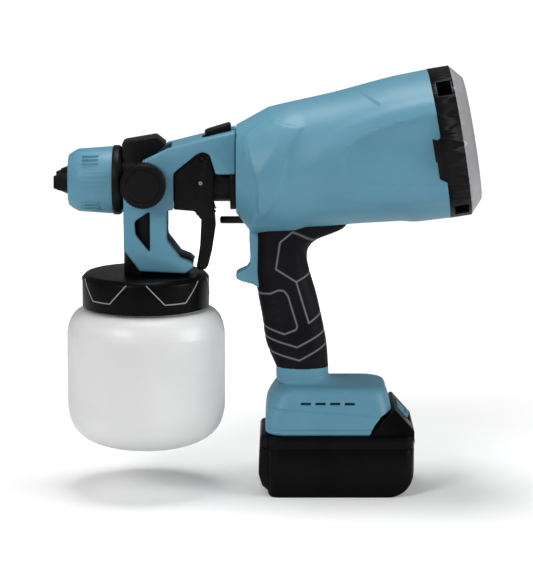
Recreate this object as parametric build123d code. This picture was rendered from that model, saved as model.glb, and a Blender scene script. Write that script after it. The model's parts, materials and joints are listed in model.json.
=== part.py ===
from build123d import *
from math import cos, pi, radians, sin
import os

# Cordless turbine paint sprayer. Millimetres, +Z up, nozzle towards -X.
# The origin is the middle of the battery's flat bottom face.
os.makedirs("parts", exist_ok=True)

# ---- clearances -----------------------------------------------------------
slide_gap = 0.4      # battery rails, cover spigot and other sliding pieces
face_gap = 0.3       # faces of two moving pieces that come face to face
running_gap = 0.1    # shafts, pins and rods in their holes, on the radius
seat_gap = 0.05      # pieces pressed or screwed together

# ---- battery --------------------------------------------------------------
battery_length = 109.4
battery_width = 75.0
battery_height = 46.0
battery_wall = 2.2
battery_lid_height = 9.5       # from the seam of the case to its top
battery_rear_radius = 20.0
battery_front_radius = 4.0
battery_nose = 6.8             # bulge of the front wall
battery_nose_half_width = 30.0
rail_half_width = 22.0
rail_neck_half_width = 18.0
rail_front_x = -45.0
rail_flange = 3.4              # thickness of the rail's flange
wedge_half_width = 33.0
cell_radius = 9.2
cell_length = 65.0
cell_pitch = 19.0
cells_in_row = 5
contact_y = 8.0                # battery contacts, off the middle
contact_thickness = 1.2

# ---- foot and grip --------------------------------------------------------
housing_wall = 2.8
foot_height = 35.6
foot_front_x = -56.2
foot_rear_x = 38.0
foot_half_width = 35.0
foot_top_half_width = 29.5
foot_corner = 12.0
wedge_rise = 19.4              # height of the foot's sloping rear edge
wedge_run = 17.0               # and its length along X
vent_length = 7.5
vent_height = 1.8
neck_height = 11.5
grip_height = 105.0
grip_to_gun_axis = 35.7
grip_half_width = 17.0
cover_thickness = 2.6
strip_half_width = 9.0

# ---- blower ---------------------------------------------------------------
seam_x = -78.0                 # flat front face, where the spray gun docks
blower_tilt = 9.3              # degrees, rear end up
blower_lift = 2.6              # blower axis above the gun axis at the seam
blower_length = 152.0
blower_radius = 55.8
rear_cover_length = 25.0
rear_cover_band = 16.0
rear_cover_bevel = 10.0
rear_cover_wall = 2.4
tab_length = 6.0
tab_depth = 1.4
fan_case_radius = 42.5
fan_case_wall = 2.0
fan_case_start = 34.0
fan_radius = 37.0
fan_depth = 11.0
motor_radius = 22.0
motor_length = 50.0
motor_start = 66.0
shaft_radius = 2.5
filter_thickness = 8.0
filter_bore = 4.0
bearing_radius = 8.0
bearing_width = 5.0

# ---- spray gun ------------------------------------------------------------
cup_x = -146.0
pipe_radius = 16.0
pipe_wall = 3.5
pipe_end_x = -62.0
cheek_gap = 1.0                # trigger cheek off the air pipe
cheek_thickness = 2.6
frame_wall = 3.0
frame_screw_places = [(-146.0, -58.0), (-141.0, 10.5)]   # x, and rise above the gun axis
screw_bite = 12.5               # how deep those screws reach
spindle_radius = 3.0            # of the flow knob
neck_radius = 16.1
head_front_x = -182.0
collar_front_x = -169.1
collar_rise = 6.3               # collar ring and nut, above the barrel
barrel_rear_x = -126.0
nut_front_x = -202.5
nut_rise = 5.5
nut_wall = 2.4
nut_lip = 2.0                   # the nut's mouth, inside the barrel's radius
nozzle_tip_x = -206.5
needle_radius = 1.25
pivot_x = -102.75
pivot_rise = 18.3              # trigger pivot above the gun axis
pivot_radius = 2.0
link_x = -104.25
link_radius = 1.5
knob_radius = 17.0
knob_thickness = 12.0
knob_teeth = 44
rod_drop = 30.1                # switch push rod below the gun axis
rod_radius = 2.7
rod_front_x = -90.2
rod_rear_x = -60.4
rod_flange_x = -68.8
rod_flange_radius = 4.3
switch_front_x = -52.0
switch_length = 16.0
button_half_width = 7.5

# ---- cup ------------------------------------------------------------------
lid_drop = 69.7                # lid's top below the gun axis
lid_height = 25.0
lid_wall = 2.2
lid_top_wall = 3.0
lid_socket_radius = 12.0         # the gun's socket through the lid
cup_shoulder = 16.8             # from the neck out to the wall
cup_height = 129.9             # from the lid's top to the cup's bottom
cup_neck_radius = 42.4
cup_wall = 1.6
cup_thread = 1.4
thread_gap = 1.5
gasket_thickness = 2.2
riser_radius = 4.0               # bore of the socket that holds the pickup tube
valve_x = -138.0                 # check valve in the lid

# ---- places worked out from the above -------------------------------------
foot_bottom_z = battery_height + slide_gap
foot_top_z = foot_bottom_z + foot_height
grip_bottom_z = foot_top_z + neck_height
grip_top_z = grip_bottom_z + grip_height
gun_axis_z = grip_top_z + grip_to_gun_axis
rail_top_z = foot_bottom_z + housing_wall + slide_gap + rail_flange
wedge_x = foot_rear_x - wedge_run
pivot_z = gun_axis_z + pivot_rise
rod_z = gun_axis_z - rod_drop
lid_top_z = gun_axis_z - lid_drop
lid_bottom_z = lid_top_z - lid_height
cup_bottom_z = lid_top_z - cup_height
cheek_inner = pipe_radius + cheek_gap
cheek_outer = cheek_inner + cheek_thickness
frame_inner = cheek_outer + slide_gap
frame_outer = frame_inner + frame_wall
barrel_radius = frame_inner - slide_gap
collar_radius = barrel_radius + collar_rise
collar_rear_x = cup_x - neck_radius - 0.2
nut_radius = barrel_radius + nut_rise
nut_mouth_radius = barrel_radius - nut_lip
knob_inner = collar_radius + face_gap
pipe_bore = pipe_radius - pipe_wall
lid_radius = cup_neck_radius + cup_thread + thread_gap + lid_wall
cup_radius = cup_neck_radius + cup_shoulder
battery_seam_z = battery_height - battery_lid_height
vent_z = foot_top_z - 12.6
spigot_bore = barrel_radius - 2.6
cover_inner_radius = blower_radius - housing_wall - slide_gap
pipe_mouth_radius = pipe_radius + running_gap
duct_radius = pipe_mouth_radius + 3.0
motor_end = motor_start + motor_length
fan_start = motor_end + 4.0
fan_case_end = fan_start + fan_depth + 6.0
core_foot_half_width = 12.0

# Lines that pieces are turned about: local X runs along the axis, local Y upwards.
gun_line = Plane(origin=(0, 0, gun_axis_z), x_dir=(1, 0, 0), z_dir=(0, -1, 0))
cup_line = Plane(origin=(cup_x, 0, 0), x_dir=(0, 0, 1), z_dir=(0, -1, 0))
blower_line = Plane(
    origin=(seam_x, 0, gun_axis_z + blower_lift),
    x_dir=(cos(radians(blower_tilt)), 0, sin(radians(blower_tilt))),
    z_dir=(0, -1, 0),
)


def face_of(points, radii=0):
    if radii == 0:
        return make_face(Polyline(*points, close=True))
    return make_face(FilletPolyline(*points, radius=radii, close=True))


def across(face, low_y, high_y):
    """A side outline, given as (x, z), run from one Y to another."""
    plane = Plane(origin=(0, high_y, 0), x_dir=(1, 0, 0), z_dir=(0, -1, 0))
    return plane.location * extrude(face, amount=high_y - low_y)


def both_sides(face, inner_y, outer_y):
    return across(face, -outer_y, -inner_y) + across(face, inner_y, outer_y)


def block(x_range, y_range, z_range):
    middle = [sum(pair) / 2 for pair in (x_range, y_range, z_range)]
    size = [pair[1] - pair[0] for pair in (x_range, y_range, z_range)]
    return Pos(*middle) * Box(*size)


def turned(points, line, radii=0):
    """A profile of (place along the line, radius) turned about the line."""
    return line.location * revolve(face_of(points, radii), Axis.X)


def rod(line, start, end, radius):
    return turned([(start, 0), (start, radius), (end, radius), (end, 0)], line)


def tube(line, start, end, outer, inner):
    return turned([(start, inner), (start, outer), (end, outer), (end, inner)], line)


def pin(x, z, radius, low_y, high_y):
    return Pos(x, (low_y + high_y) / 2, z) * Rot(90, 0, 0) * Cylinder(radius, high_y - low_y)


def coil(line, start, end, radius, wire, turns):
    """A compression spring with its ends inside start and end."""
    free = end - start - 2 * wire
    path = Helix(pitch=free / turns, height=free, radius=radius)
    section = Plane(origin=path @ 0, z_dir=path % 0) * Circle(wire)
    spring = sweep(section, path=path)
    along = Plane(origin=(start + wire, 0, 0), x_dir=(0, 1, 0), z_dir=(1, 0, 0))
    return line.location * along.location * spring


# ---- battery --------------------------------------------------------------
def battery_form(inset):
    half = battery_length / 2 - inset
    low = inset
    high = battery_height - inset
    front_radius = max(battery_front_radius - inset, 0.8)
    radii = [front_radius, battery_rear_radius - inset, front_radius / 2, front_radius / 2]
    side = face_of([(-half, low), (half, low), (half, high), (-half, high)], radii)
    plan = RectangleRounded(2 * half, battery_width - 2 * inset, 9.0 - inset)
    solid = across(side, -battery_width / 2, battery_width / 2)
    return solid & extrude(plan, amount=battery_height)


def battery_nose_form():
    front = -battery_length / 2
    outline = [
        (front + 1, 4.0),
        (front - 0.6 * battery_nose, 7.0),
        (front - battery_nose, 15.0),
        (front - 0.8 * battery_nose, battery_height - 2),
        (front - 0.6 * battery_nose, battery_height),
        (front + 1, battery_height),
    ]
    reach = battery_nose_half_width
    plan = face_of([
        (front + 1, -reach - 3), (front - battery_nose, -reach + 5),
        (front - battery_nose, reach - 5), (front + 1, reach + 3),
    ])
    return across(face_of(outline), -reach - 3, reach + 3) & extrude(plan, amount=battery_height)


def battery_rail():
    neck_low = battery_height - battery_wall
    flange_low = foot_bottom_z + housing_wall + slide_gap
    neck = block((rail_front_x, wedge_x + 6), (-rail_neck_half_width, rail_neck_half_width),
                 (neck_low, flange_low + 0.5))
    flange = block((rail_front_x, wedge_x + 2), (-rail_half_width, rail_half_width),
                   (flange_low, rail_top_z))
    pocket = block((rail_front_x - 1, -10), (-14, 14), (battery_height, rail_top_z - 1.6))
    return neck + flange - pocket


def wedge_slope(distance, height):
    """A point on the wedge's slanted rear face, and above it."""
    start = (foot_rear_x + 2.5, foot_bottom_z + wedge_rise)
    run = battery_length / 2 - 0.5 - start[0]
    fall = start[1] - battery_height - 4.4
    length = (run ** 2 + fall ** 2) ** 0.5
    along = (run / length, -fall / length)
    return (start[0] + along[0] * distance - along[1] * height,
            start[1] + along[1] * distance + along[0] * height)


def battery_wedge():
    low = battery_height - 3
    outline = [
        (wedge_x + 2 * slide_gap - wedge_run * (slide_gap + 3) / wedge_rise, low),
        (foot_rear_x + 2 * slide_gap, foot_bottom_z + wedge_rise),
        wedge_slope(0, 0),
        wedge_slope(20.3, 0),
        (battery_length / 2, battery_height + 3.2),
        (battery_length / 2, low),
    ]
    body = across(face_of(outline), -wedge_half_width, wedge_half_width)
    recess = face_of([wedge_slope(2, -1.6), wedge_slope(19, -1.6),
                      wedge_slope(19, 4), wedge_slope(2, 4)])
    return body - across(recess, -11.5, 11.5)


def battery_shells():
    outer = battery_form(0) + battery_nose_form()
    shell = outer - battery_form(battery_wall)
    reach = battery_length
    below = block((-reach, reach), (-reach, reach), (-1, battery_seam_z))
    above = block((-reach, reach), (-reach, reach), (battery_seam_z, 2 * battery_height))
    top = shell & above
    top = top + (battery_wedge() - battery_form(battery_wall)) + battery_rail()
    half = contact_thickness / 2 + 0.2
    for side in (-1, 1):
        top -= block((rail_front_x + 4, -20), (side * contact_y - half, side * contact_y + half),
                     (battery_height - battery_wall - 1, battery_height + 1))
    return shell & below, top


def battery_cells():
    first_x = -4.0 - cell_pitch * (cells_in_row - 1) / 2
    cells = []
    for row in range(2):
        z = battery_wall + 1.0 + cell_radius + row * (cell_pitch - 0.4)
        for place in range(cells_in_row):
            cells.append(pin(first_x + place * cell_pitch, z, cell_radius,
                             -cell_length / 2, cell_length / 2))
    return Compound(children=cells)


def battery_board():
    top_z = battery_height - battery_wall - 0.4
    board = block((-44, 34), (-26, 26), (top_z - 1.2, top_z))
    half = contact_thickness / 2
    for side in (-1, 1):
        board += block((rail_front_x + 6, -22), (side * contact_y - half, side * contact_y + half),
                       (top_z - 0.2, rail_top_z - 1.6 - face_gap))
    return board


def battery_button():
    plate = face_of([wedge_slope(2.6, -1.3), wedge_slope(14.0, -1.3),
                     wedge_slope(14.4, 1.2), wedge_slope(2.8, 1.0)])
    ridge = face_of([wedge_slope(11.0, 0.9), wedge_slope(14.2, 0.9),
                     wedge_slope(13.8, 2.6), wedge_slope(11.6, 2.6)])
    return across(plate, -11.0, 11.0) + across(ridge, -9.0, 9.0)


# ---- housing --------------------------------------------------------------
def blower_form(inset):
    """The blower's turned outline, cut off flat at the seam."""
    length = blower_length
    nose = Polyline((0.0, 0), (-12, 0), (-12, 17 - inset), (-5.4, 25 - inset),
                    (1.7, 35.5 - inset), (6.3, 38 - inset))
    back = Spline((6.3, 38 - inset), (28, 46.8 - inset), (46, 49.6 - inset),
                  (length - 72, 0.914 * blower_radius - inset),
                  (length - 35, 0.98 * blower_radius - inset), (length, blower_radius - inset))
    end = Polyline((length, blower_radius - inset), (length, 0), (0.0, 0))
    face = make_face([*nose.edges(), *back.edges(), *end.edges()])
    solid = blower_line.location * revolve(face, Axis.X)
    reach = 2 * (blower_length + blower_radius)
    front = block((seam_x + inset, seam_x + reach), (-reach, reach), (-reach, reach))
    return solid & front


# Share of the grip's height, front edge, rear edge, and width as a share of the widest.
grip_stations = [
    (-0.160, -49.0, -9.0, 1.04),
    (0.000, -48.2, -9.0, 1.00),
    (0.176, -55.6, -10.5, 1.02),
    (0.357, -58.5, -14.2, 1.03),
    (0.538, -62.0, -18.6, 1.00),
    (0.681, -64.0, -23.0, 0.97),
    (0.824, -63.6, -24.8, 0.97),
    (1.080, -63.4, -20.0, 1.00),
]


def grip_form(inset):
    sections = []
    for share, front, rear, width in grip_stations:
        depth = rear - front - 2 * inset
        half_width = grip_half_width * width - inset
        place = Plane(origin=((front + rear) / 2, 0, grip_bottom_z + share * grip_height))
        corner = 0.82 * min(half_width, depth / 2)
        sections.append(place * RectangleRounded(depth, 2 * half_width, corner))
    return loft(sections)


def grip_web():
    """The swelling behind the grip, where it runs out under the blower."""
    outline = [
        (-45.0, grip_top_z - 22.0), (-25.2, grip_top_z - 19.0), (-20.2, grip_top_z - 10.8),
        (-11.2, grip_top_z - 6.2), (0.0, grip_top_z - 3.1), (0.0, grip_top_z + 8),
        (-45.0, grip_top_z + 8),
    ]
    return across(face_of(outline), -11.0, 11.0)


def finger_stop():
    """The strip down the front of the grip that ends in a hook."""
    low = grip_top_z - 40.5
    outline = [
        (-56.0, grip_top_z + 4), (-68.2, grip_top_z + 4), (-68.2, low + 12.5),
        (-71.5, low + 9.0), (-78.7, low + 5.6), (-77.0, low + 2.6), (-69.8, low),
        (-62.5, low + 1.5), (-56.0, low + 6.0),
    ]
    return across(face_of(outline), -strip_half_width, strip_half_width)


def foot_form(inset):
    low = foot_bottom_z + inset
    high = foot_top_z - inset
    front = foot_front_x + inset
    rear = foot_rear_x - inset
    side = face_of([
        (front + 2.2, low), (front, foot_bottom_z + 8), (front + 1.4, foot_bottom_z + 22),
        (front + 6.0, high - 4), (front + 8.2, high), (rear - 11, high), (rear - 4.5, high - 4),
        (rear, foot_bottom_z + wedge_rise + 0.38 * inset), (wedge_x - 0.45 * inset, low),
    ])
    width = foot_half_width - inset
    top_width = foot_top_half_width - inset
    ends = face_of([
        (-width, low), (width, low), (width, foot_bottom_z + 16), (top_width, high),
        (-top_width, high), (-width, foot_bottom_z + 16),
    ])
    plan = RectangleRounded(rear - front, 2 * width, foot_corner - inset)
    lengthwise = Plane(origin=(front, 0, 0), x_dir=(0, 1, 0), z_dir=(1, 0, 0))
    solid = across(side, -width, width)
    solid &= lengthwise.location * extrude(ends, amount=rear - front)
    return solid & Pos((front + rear) / 2, 0, 0) * extrude(plan, amount=high + 1)


screw_head_y = 10.0
screw_end_y = -9.0
screw_radius = 1.45
boss_radius = 5.5
housing_screw_places = [
    (seam_x + 18.0, gun_axis_z + 35.8),
    (-28.0, grip_top_z + 0.5),
    (-46.5, grip_bottom_z + 46.0),
    (foot_front_x + 9.7, foot_top_z - 15.6),
    (foot_rear_x - 12.0, foot_top_z - 9.1),
]


def below_z(z):
    reach = 3 * blower_length
    return block((-reach, reach), (-reach, reach), (-reach, z))


def housing_outer():
    neck = grip_form(0) & below_z(grip_bottom_z)
    return blower_form(0) + grip_form(cover_thickness) + neck + foot_form(0) + finger_stop()


def rear_tab(gap, top_radius, low_radius):
    """The rear cover's forward tabs, one on each side."""
    start = blower_length
    outline = [
        (start + 1.7, 11.7 + gap), (start + 1.5 - tab_length - gap, 7.3 + gap),
        (start + 1.5 - tab_length - gap, -18.9 - gap), (start + 1.7, -24.2 - gap),
    ]
    reach = 2 * blower_radius
    solid = blower_line.location * (Pos(0, 0, -reach) * extrude(face_of(outline), amount=2 * reach))
    return solid & tube(blower_line, start - 2 * tab_length, start + 1.7, top_radius, low_radius)


def housing():
    outer = housing_outer()
    inner = blower_form(housing_wall) + foot_form(housing_wall)
    inner += grip_form(cover_thickness + housing_wall)
    shell = outer - inner
    for start in (fan_case_start + 30, fan_case_end - 6):
        rib = tube(blower_line, start, start + 3, 2 * blower_radius, fan_case_radius + running_gap)
        shell += rib & blower_form(0.5)
    shelf = block((-54, -36), (-60, 60), (rod_z - 12, rod_z - 5.6))
    shell += shelf & blower_form(0.5)
    for x, z in housing_screw_places:
        boss = pin(x, z, boss_radius, -2 * foot_half_width, 2 * foot_half_width)
        shell += boss & outer
    for x, z in housing_screw_places:
        shell -= pin(x, z, screw_radius + seat_gap, screw_end_y - 0.5, screw_head_y)
        shell -= pin(x, z, 2 * screw_radius + 0.7, screw_head_y, 2 * foot_half_width)
    # Air outlet, push rod hole and the slot for the gun's latch finger.
    shell -= rod(gun_line, seam_x - 1, seam_x + 14, duct_radius + running_gap)
    shell -= tube_hole(rod_z, rod_radius + 0.3, seam_x - 2, seam_x + 16)
    shell -= tube_hole(rod_z, rod_flange_radius + 0.4, rod_flange_x - 1, rod_flange_x + 12)
    shell -= block((seam_x - 1, seam_x + 8), (-6.5, 6.5), (gun_axis_z + 20.6, gun_axis_z + 28.6))
    # Slot in the foot's floor for the battery's rail.
    shell -= block((rail_front_x - slide_gap, foot_rear_x + 5),
                   (-rail_neck_half_width - slide_gap, rail_neck_half_width + slide_gap),
                   (foot_bottom_z - 1, foot_bottom_z + housing_wall + 1))
    shell -= block((rail_front_x - slide_gap, foot_rear_x + 5),
                   (-rail_half_width - slide_gap, rail_half_width + slide_gap),
                   (foot_bottom_z + housing_wall, rail_top_z + slide_gap))
    for number in range(4):
        x = -30.0 + number * (vent_length + 3.4)
        slot = block((x, x + vent_length), (-50, 50), (vent_z, vent_z + vent_height))
        shell -= slot
    tab_pocket = rear_tab(slide_gap, 2 * blower_radius, blower_radius - tab_depth - slide_gap)
    shell -= tab_pocket
    return shell


def tube_hole(z, radius, start, end):
    return Pos((start + end) / 2, 0, z) * Rot(0, 90, 0) * Cylinder(radius, end - start)


def halves(solid):
    reach = 3 * blower_length
    left = block((-reach, reach), (-reach, 0), (-reach, reach))
    right = block((-reach, reach), (0, reach), (-reach, reach))
    return solid & left, solid & right


def grip_cover():
    sleeve = (grip_form(0) - below_z(grip_bottom_z)) + grip_web()
    sleeve -= blower_form(0)
    sleeve -= grip_form(cover_thickness)
    sleeve -= finger_stop()
    for x, z in housing_screw_places:
        sleeve -= pin(x, z, 2 * screw_radius + 0.7, screw_head_y, 2 * foot_half_width)
    return sleeve


def housing_screws():
    screws = []
    for x, z in housing_screw_places:
        screw = pin(x, z, screw_radius, screw_end_y, screw_head_y + 0.5)
        screw += pin(x, z, 2 * screw_radius, screw_head_y, screw_head_y + 2.2)
        screws.append(screw)
    return Compound(children=screws)


# ---- blower insides -------------------------------------------------------
def outlet_collar():
    ring = tube(gun_line, seam_x - 4.5, seam_x, 22.0, pipe_radius + slide_gap)
    return ring & below_z(gun_axis_z + 6.4)


def outlet_duct():
    straight_end = pipe_end_x + 2
    collar = rod(gun_line, seam_x + 0.2, straight_end, duct_radius)
    bore = rod(gun_line, seam_x - 1, pipe_end_x + 1, pipe_mouth_radius)
    bore += rod(gun_line, pipe_end_x, straight_end + 0.1, pipe_bore + 1)
    across_gun = Plane(origin=(straight_end, 0, gun_axis_z), x_dir=(0, 1, 0), z_dir=(1, 0, 0))
    mouth = blower_line.location * Location((fan_case_start, 0, 0))
    across_blower = Plane(origin=mouth.position, x_dir=(0, 1, 0), z_dir=blower_line.x_dir)
    outer = loft([across_gun * Circle(duct_radius), across_blower * Circle(26.0)])
    inner = loft([across_gun * Circle(pipe_bore + 1), across_blower * Circle(24.0)])
    return collar - bore + (outer - inner)


def fan_case():
    step = fan_case_start
    return turned([
        (step, 24.0), (step, 26.0), (step + 26, fan_case_radius), (fan_case_end, fan_case_radius),
        (fan_case_end, fan_case_radius - fan_case_wall),
        (step + 26.7, fan_case_radius - fan_case_wall),
    ], blower_line)


def fan_inlet_plate():
    return turned([
        (fan_case_end - 3, fan_radius / 2 - 1), (fan_case_end - 3, fan_case_radius - 2.05),
        (fan_case_end + seat_gap, fan_case_radius - 2.05),
        (fan_case_end + seat_gap, fan_case_radius), (fan_case_end + 2, fan_case_radius),
        (fan_case_end + 2, fan_radius / 2 + 3), (fan_case_end, fan_radius / 2 - 1),
    ], blower_line)


def motor_mount():
    """A ring that grips the motor, with vanes out to the fan case."""
    low = motor_start + 10
    high = low + 16
    ring = tube(blower_line, low, high, motor_radius + 3, motor_radius + seat_gap)
    vane_top = fan_case_radius - fan_case_wall - seat_gap
    for number in range(6):
        vane = Pos((low + high) / 2, (motor_radius + 1.5 + vane_top) / 2, 0)
        vane *= Box(high - low, vane_top - motor_radius - 1.5, 2.4)
        ring += blower_line.location * (Rot(60 * number, 0, 0) * vane)
    return ring & rod(blower_line, low - 1, high + 1, vane_top)


def motor_can():
    bearing_bore = bearing_radius + seat_gap
    can = rod(blower_line, motor_start, motor_end, motor_radius)
    can -= rod(blower_line, motor_start + 7, motor_end - 7, motor_radius - 1.6)
    can -= rod(blower_line, motor_start - 1, motor_start + bearing_width, bearing_bore)
    can -= rod(blower_line, motor_end - bearing_width, motor_end + 1, bearing_bore)
    return can - rod(blower_line, motor_start, motor_end, shaft_radius + 1.5)


def bearing(start):
    return tube(blower_line, start, start + bearing_width, bearing_radius,
                shaft_radius + running_gap)


def motor_shaft():
    return rod(blower_line, motor_start - 4, fan_case_end - 0.5, shaft_radius)


def armature():
    core = rod(blower_line, motor_start + 11, motor_end - 12, motor_radius - 6)
    for number in range(9):
        slot = Pos(motor_start + motor_length / 2, motor_radius - 7, 0) * Box(motor_length, 5, 2.6)
        core -= blower_line.location * (Rot(40 * number, 0, 0) * slot)
    ends = tube(blower_line, motor_start + 9, motor_end - 9, motor_radius - 9, shaft_radius)
    return core + ends - rod(blower_line, motor_start, motor_end, shaft_radius)


def impeller():
    start = fan_start
    disc = tube(blower_line, start, start + 1.6, fan_radius, shaft_radius)
    hub = tube(blower_line, start, start + fan_depth - 1, 7.0, shaft_radius)
    wheel = disc + hub
    for number in range(9):
        strip = Pos(start + 1.2, 0, 0) * fan_blade()
        wheel += blower_line.location * (Rot(40 * number, 0, 0) * strip)
    shroud = turned([
        (start + fan_depth - 1.4, fan_radius / 2), (start + fan_depth - 1.4, fan_radius),
        (start + fan_depth, fan_radius), (start + fan_depth, fan_radius / 2),
    ], blower_line)
    return wheel + shroud


def fan_blade():
    """One curved blade, standing along the shaft, at the wheel's origin."""
    curve = ThreePointArc((12.0, 0.0), (0.62 * fan_radius, 4.6), (fan_radius - 0.8, 0.0))
    inner = ThreePointArc((12.0, 1.2), (0.62 * fan_radius, 5.8), (fan_radius - 0.8, 1.2))
    face = make_face([
        *curve.edges(), *Line(curve @ 1, inner @ 1).edges(),
        *inner.edges(), *Line(inner @ 0, curve @ 0).edges(),
    ])
    upright = Plane(origin=(0, 0, 0), x_dir=(0, 1, 0), z_dir=(1, 0, 0))
    return upright.location * extrude(face, amount=fan_depth - 2.2)


def impeller_nut():
    start = fan_start + fan_depth - 1
    hexagon = Plane(origin=(start, 0, 0), x_dir=(0, 1, 0), z_dir=(1, 0, 0)) * RegularPolygon(4.6, 6)
    nut = blower_line.location * extrude(hexagon, amount=3.6)
    return nut - rod(blower_line, start - 1, start + 6, shaft_radius)


def filter_pad():
    end = blower_length - 0.6
    return tube(blower_line, end - filter_thickness, end, cover_inner_radius - 2.6, filter_bore)


def rear_cover():
    start = blower_length
    end = start + rear_cover_length
    spigot = cover_inner_radius
    wall = rear_cover_wall
    cover = turned([
        (start + face_gap, spigot), (start + face_gap, blower_radius + 0.2),
        (start + rear_cover_band, blower_radius + 0.2),
        (end, blower_radius - rear_cover_bevel), (end, 0), (end - wall, 0),
        (end - wall, blower_radius - rear_cover_bevel - 1.2),
        (start + rear_cover_band - 1, spigot - 2), (start - 6, spigot - 2), (start - 6, spigot),
    ], blower_line)
    cover += rear_tab(0, blower_radius, blower_radius - tab_depth)
    for angle in (38, 148, -38, -148):
        window = Pos(start + 8.8, blower_radius - 1, 0) * Box(10.5, 20, 15.0)
        cover -= blower_line.location * (Rot(angle, 0, 0) * window)
    for ring_radius, count in ((14.0, 12), (26.0, 24), (38.0, 36)):
        for number in range(count):
            slot = Pos(end - 2, ring_radius, 0) * Box(8, 9.0, 3.0)
            cover -= blower_line.location * (Rot(360 * number / count, 0, 0) * slot)
    return cover


def motor_switch():
    return block((switch_front_x, switch_front_x + switch_length), (-6, 6),
                 (rod_z - 5.6, rod_z + 4.6))


def push_rod():
    stem = tube_hole(rod_z, rod_radius, rod_front_x, rod_rear_x)
    return stem + tube_hole(rod_z, rod_flange_radius, rod_flange_x, rod_flange_x + 1.6)


def rod_spring():
    line = Plane(origin=(0, 0, rod_z), x_dir=(1, 0, 0), z_dir=(0, -1, 0))
    return coil(line, rod_flange_x + 1.7, switch_front_x - 0.1, rod_radius + 0.7, 0.4, 5)


def control_board():
    return block((-36, 17), (-22, 22), (foot_top_z - 6.0, foot_top_z - 4.4))


def terminal_block():
    """The foot's contact carrier, with two blades that reach into the battery."""
    floor_z = foot_bottom_z + housing_wall
    body = block((rail_front_x - 5.4, rail_front_x - 1.2), (-13, 13), (floor_z, floor_z + 11))
    for side in (-1, 1):
        y = side * (contact_y + contact_thickness + running_gap)
        half = contact_thickness / 2
        body += block((rail_front_x - 2, rail_front_x + 20), (y - half, y + half),
                      (floor_z + 0.1, rail_top_z - 1.6 - face_gap))
    return body


def power_leads():
    """Two leads from the board, up the grip, to the motor switch."""
    leads = []
    for side in (-1, 1):
        route = FilletPolyline(
            (-26, side * 5, foot_top_z - 4.3), (-26, side * 5, foot_top_z + 12),
            (-34, side * 5, grip_bottom_z + 50), (-38, side * 4, grip_top_z - 14),
            (-38, side * 4, rod_z - 12.1), radius=[9.0, 14.0, 12.0],
        )
        section = Plane(origin=route @ 0, z_dir=route % 0) * Circle(1.1)
        leads.append(sweep(section, path=route))
    return Compound(children=leads)


# ---- spray gun ------------------------------------------------------------
def gun_point(x, rise):
    """A point of the gun's side outline: x, and height above the gun axis."""
    return (x, gun_axis_z + rise)


def frame_outline():
    return face_of([
        gun_point(-149.2, -65.7), gun_point(-115.5, -67.2), gun_point(-108.75, -61.5),
        gun_point(-112.5, -58.5), gun_point(-119.25, -55.8), gun_point(-129.4, -42.7),
        gun_point(-129.4, -20.0), gun_point(-124.1, -19.7), gun_point(-124.1, 7.7),
        gun_point(-108.0, 20.9), gun_point(-102.75, 23.5), gun_point(-97.5, 21.7),
        gun_point(-93.0, 6.8), gun_point(seam_x - face_gap, 6.8),
        gun_point(seam_x - face_gap, 38.3), gun_point(-102.0, 32.8), gun_point(-129.0, 26.0),
        gun_point(-146.2, 17.5), gun_point(-161.2, -9.0), gun_point(-161.2, -49.5),
    ])


def frame():
    low = gun_axis_z - lid_drop
    solid = across(frame_outline(), -frame_outer, frame_outer)
    upper = face_of([
        gun_point(-175.0, -19.9), gun_point(seam_x - 3.3, -19.9),
        gun_point(seam_x - 3.3, 34.6), gun_point(-102.0, 29.8), gun_point(-126.2, 23.6),
        gun_point(-126.2, 40.0), gun_point(-175.0, 40.0),
    ])
    solid -= across(upper, -frame_inner, frame_inner)
    leg_gap = core_foot_half_width + face_gap
    solid -= block((-175, seam_x), (-leg_gap, leg_gap), (low, gun_axis_z - 19.8))
    solid -= rod(cup_line, low - 5, gun_axis_z, neck_radius + face_gap)
    solid -= rod(gun_line, -100, seam_x, pipe_radius + slide_gap)
    solid -= block((-94, seam_x), (-cheek_inner, cheek_inner),
                   (gun_axis_z, gun_axis_z + pipe_radius + 2))
    window = face_of([
        gun_point(-141.75, -20.6), gun_point(-141.75, -51.4), gun_point(-152.6, -38.1),
        gun_point(-153.0, -28.2),
    ])
    solid -= both_sides(window, core_foot_half_width - 1, frame_outer + 1)
    slot = block((-101.6, -81.4), (-button_half_width - slide_gap, button_half_width + slide_gap),
                 (gun_axis_z + 20, gun_axis_z + 50))
    solid -= slot
    solid -= block((seam_x - 5, seam_x), (-6.5, 6.5), (gun_axis_z + 20.6, gun_axis_z + 28.6))
    for x, rise in frame_screw_places:
        solid -= pin(x, gun_axis_z + rise, screw_radius + 0.1, 0, frame_outer + 1)
    return solid - pin(cup_x, gun_axis_z, spindle_radius + face_gap, -frame_outer - 1, 0)


def frame_screws():
    screws = []
    for x, rise in frame_screw_places:
        z = gun_axis_z + rise
        shank = pin(x, z, screw_radius, frame_outer - screw_bite, frame_outer + 0.1)
        screws.append(shank + pin(x, z, 2 * screw_radius, frame_outer, frame_outer + 1.6))
    return Compound(children=screws)


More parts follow.
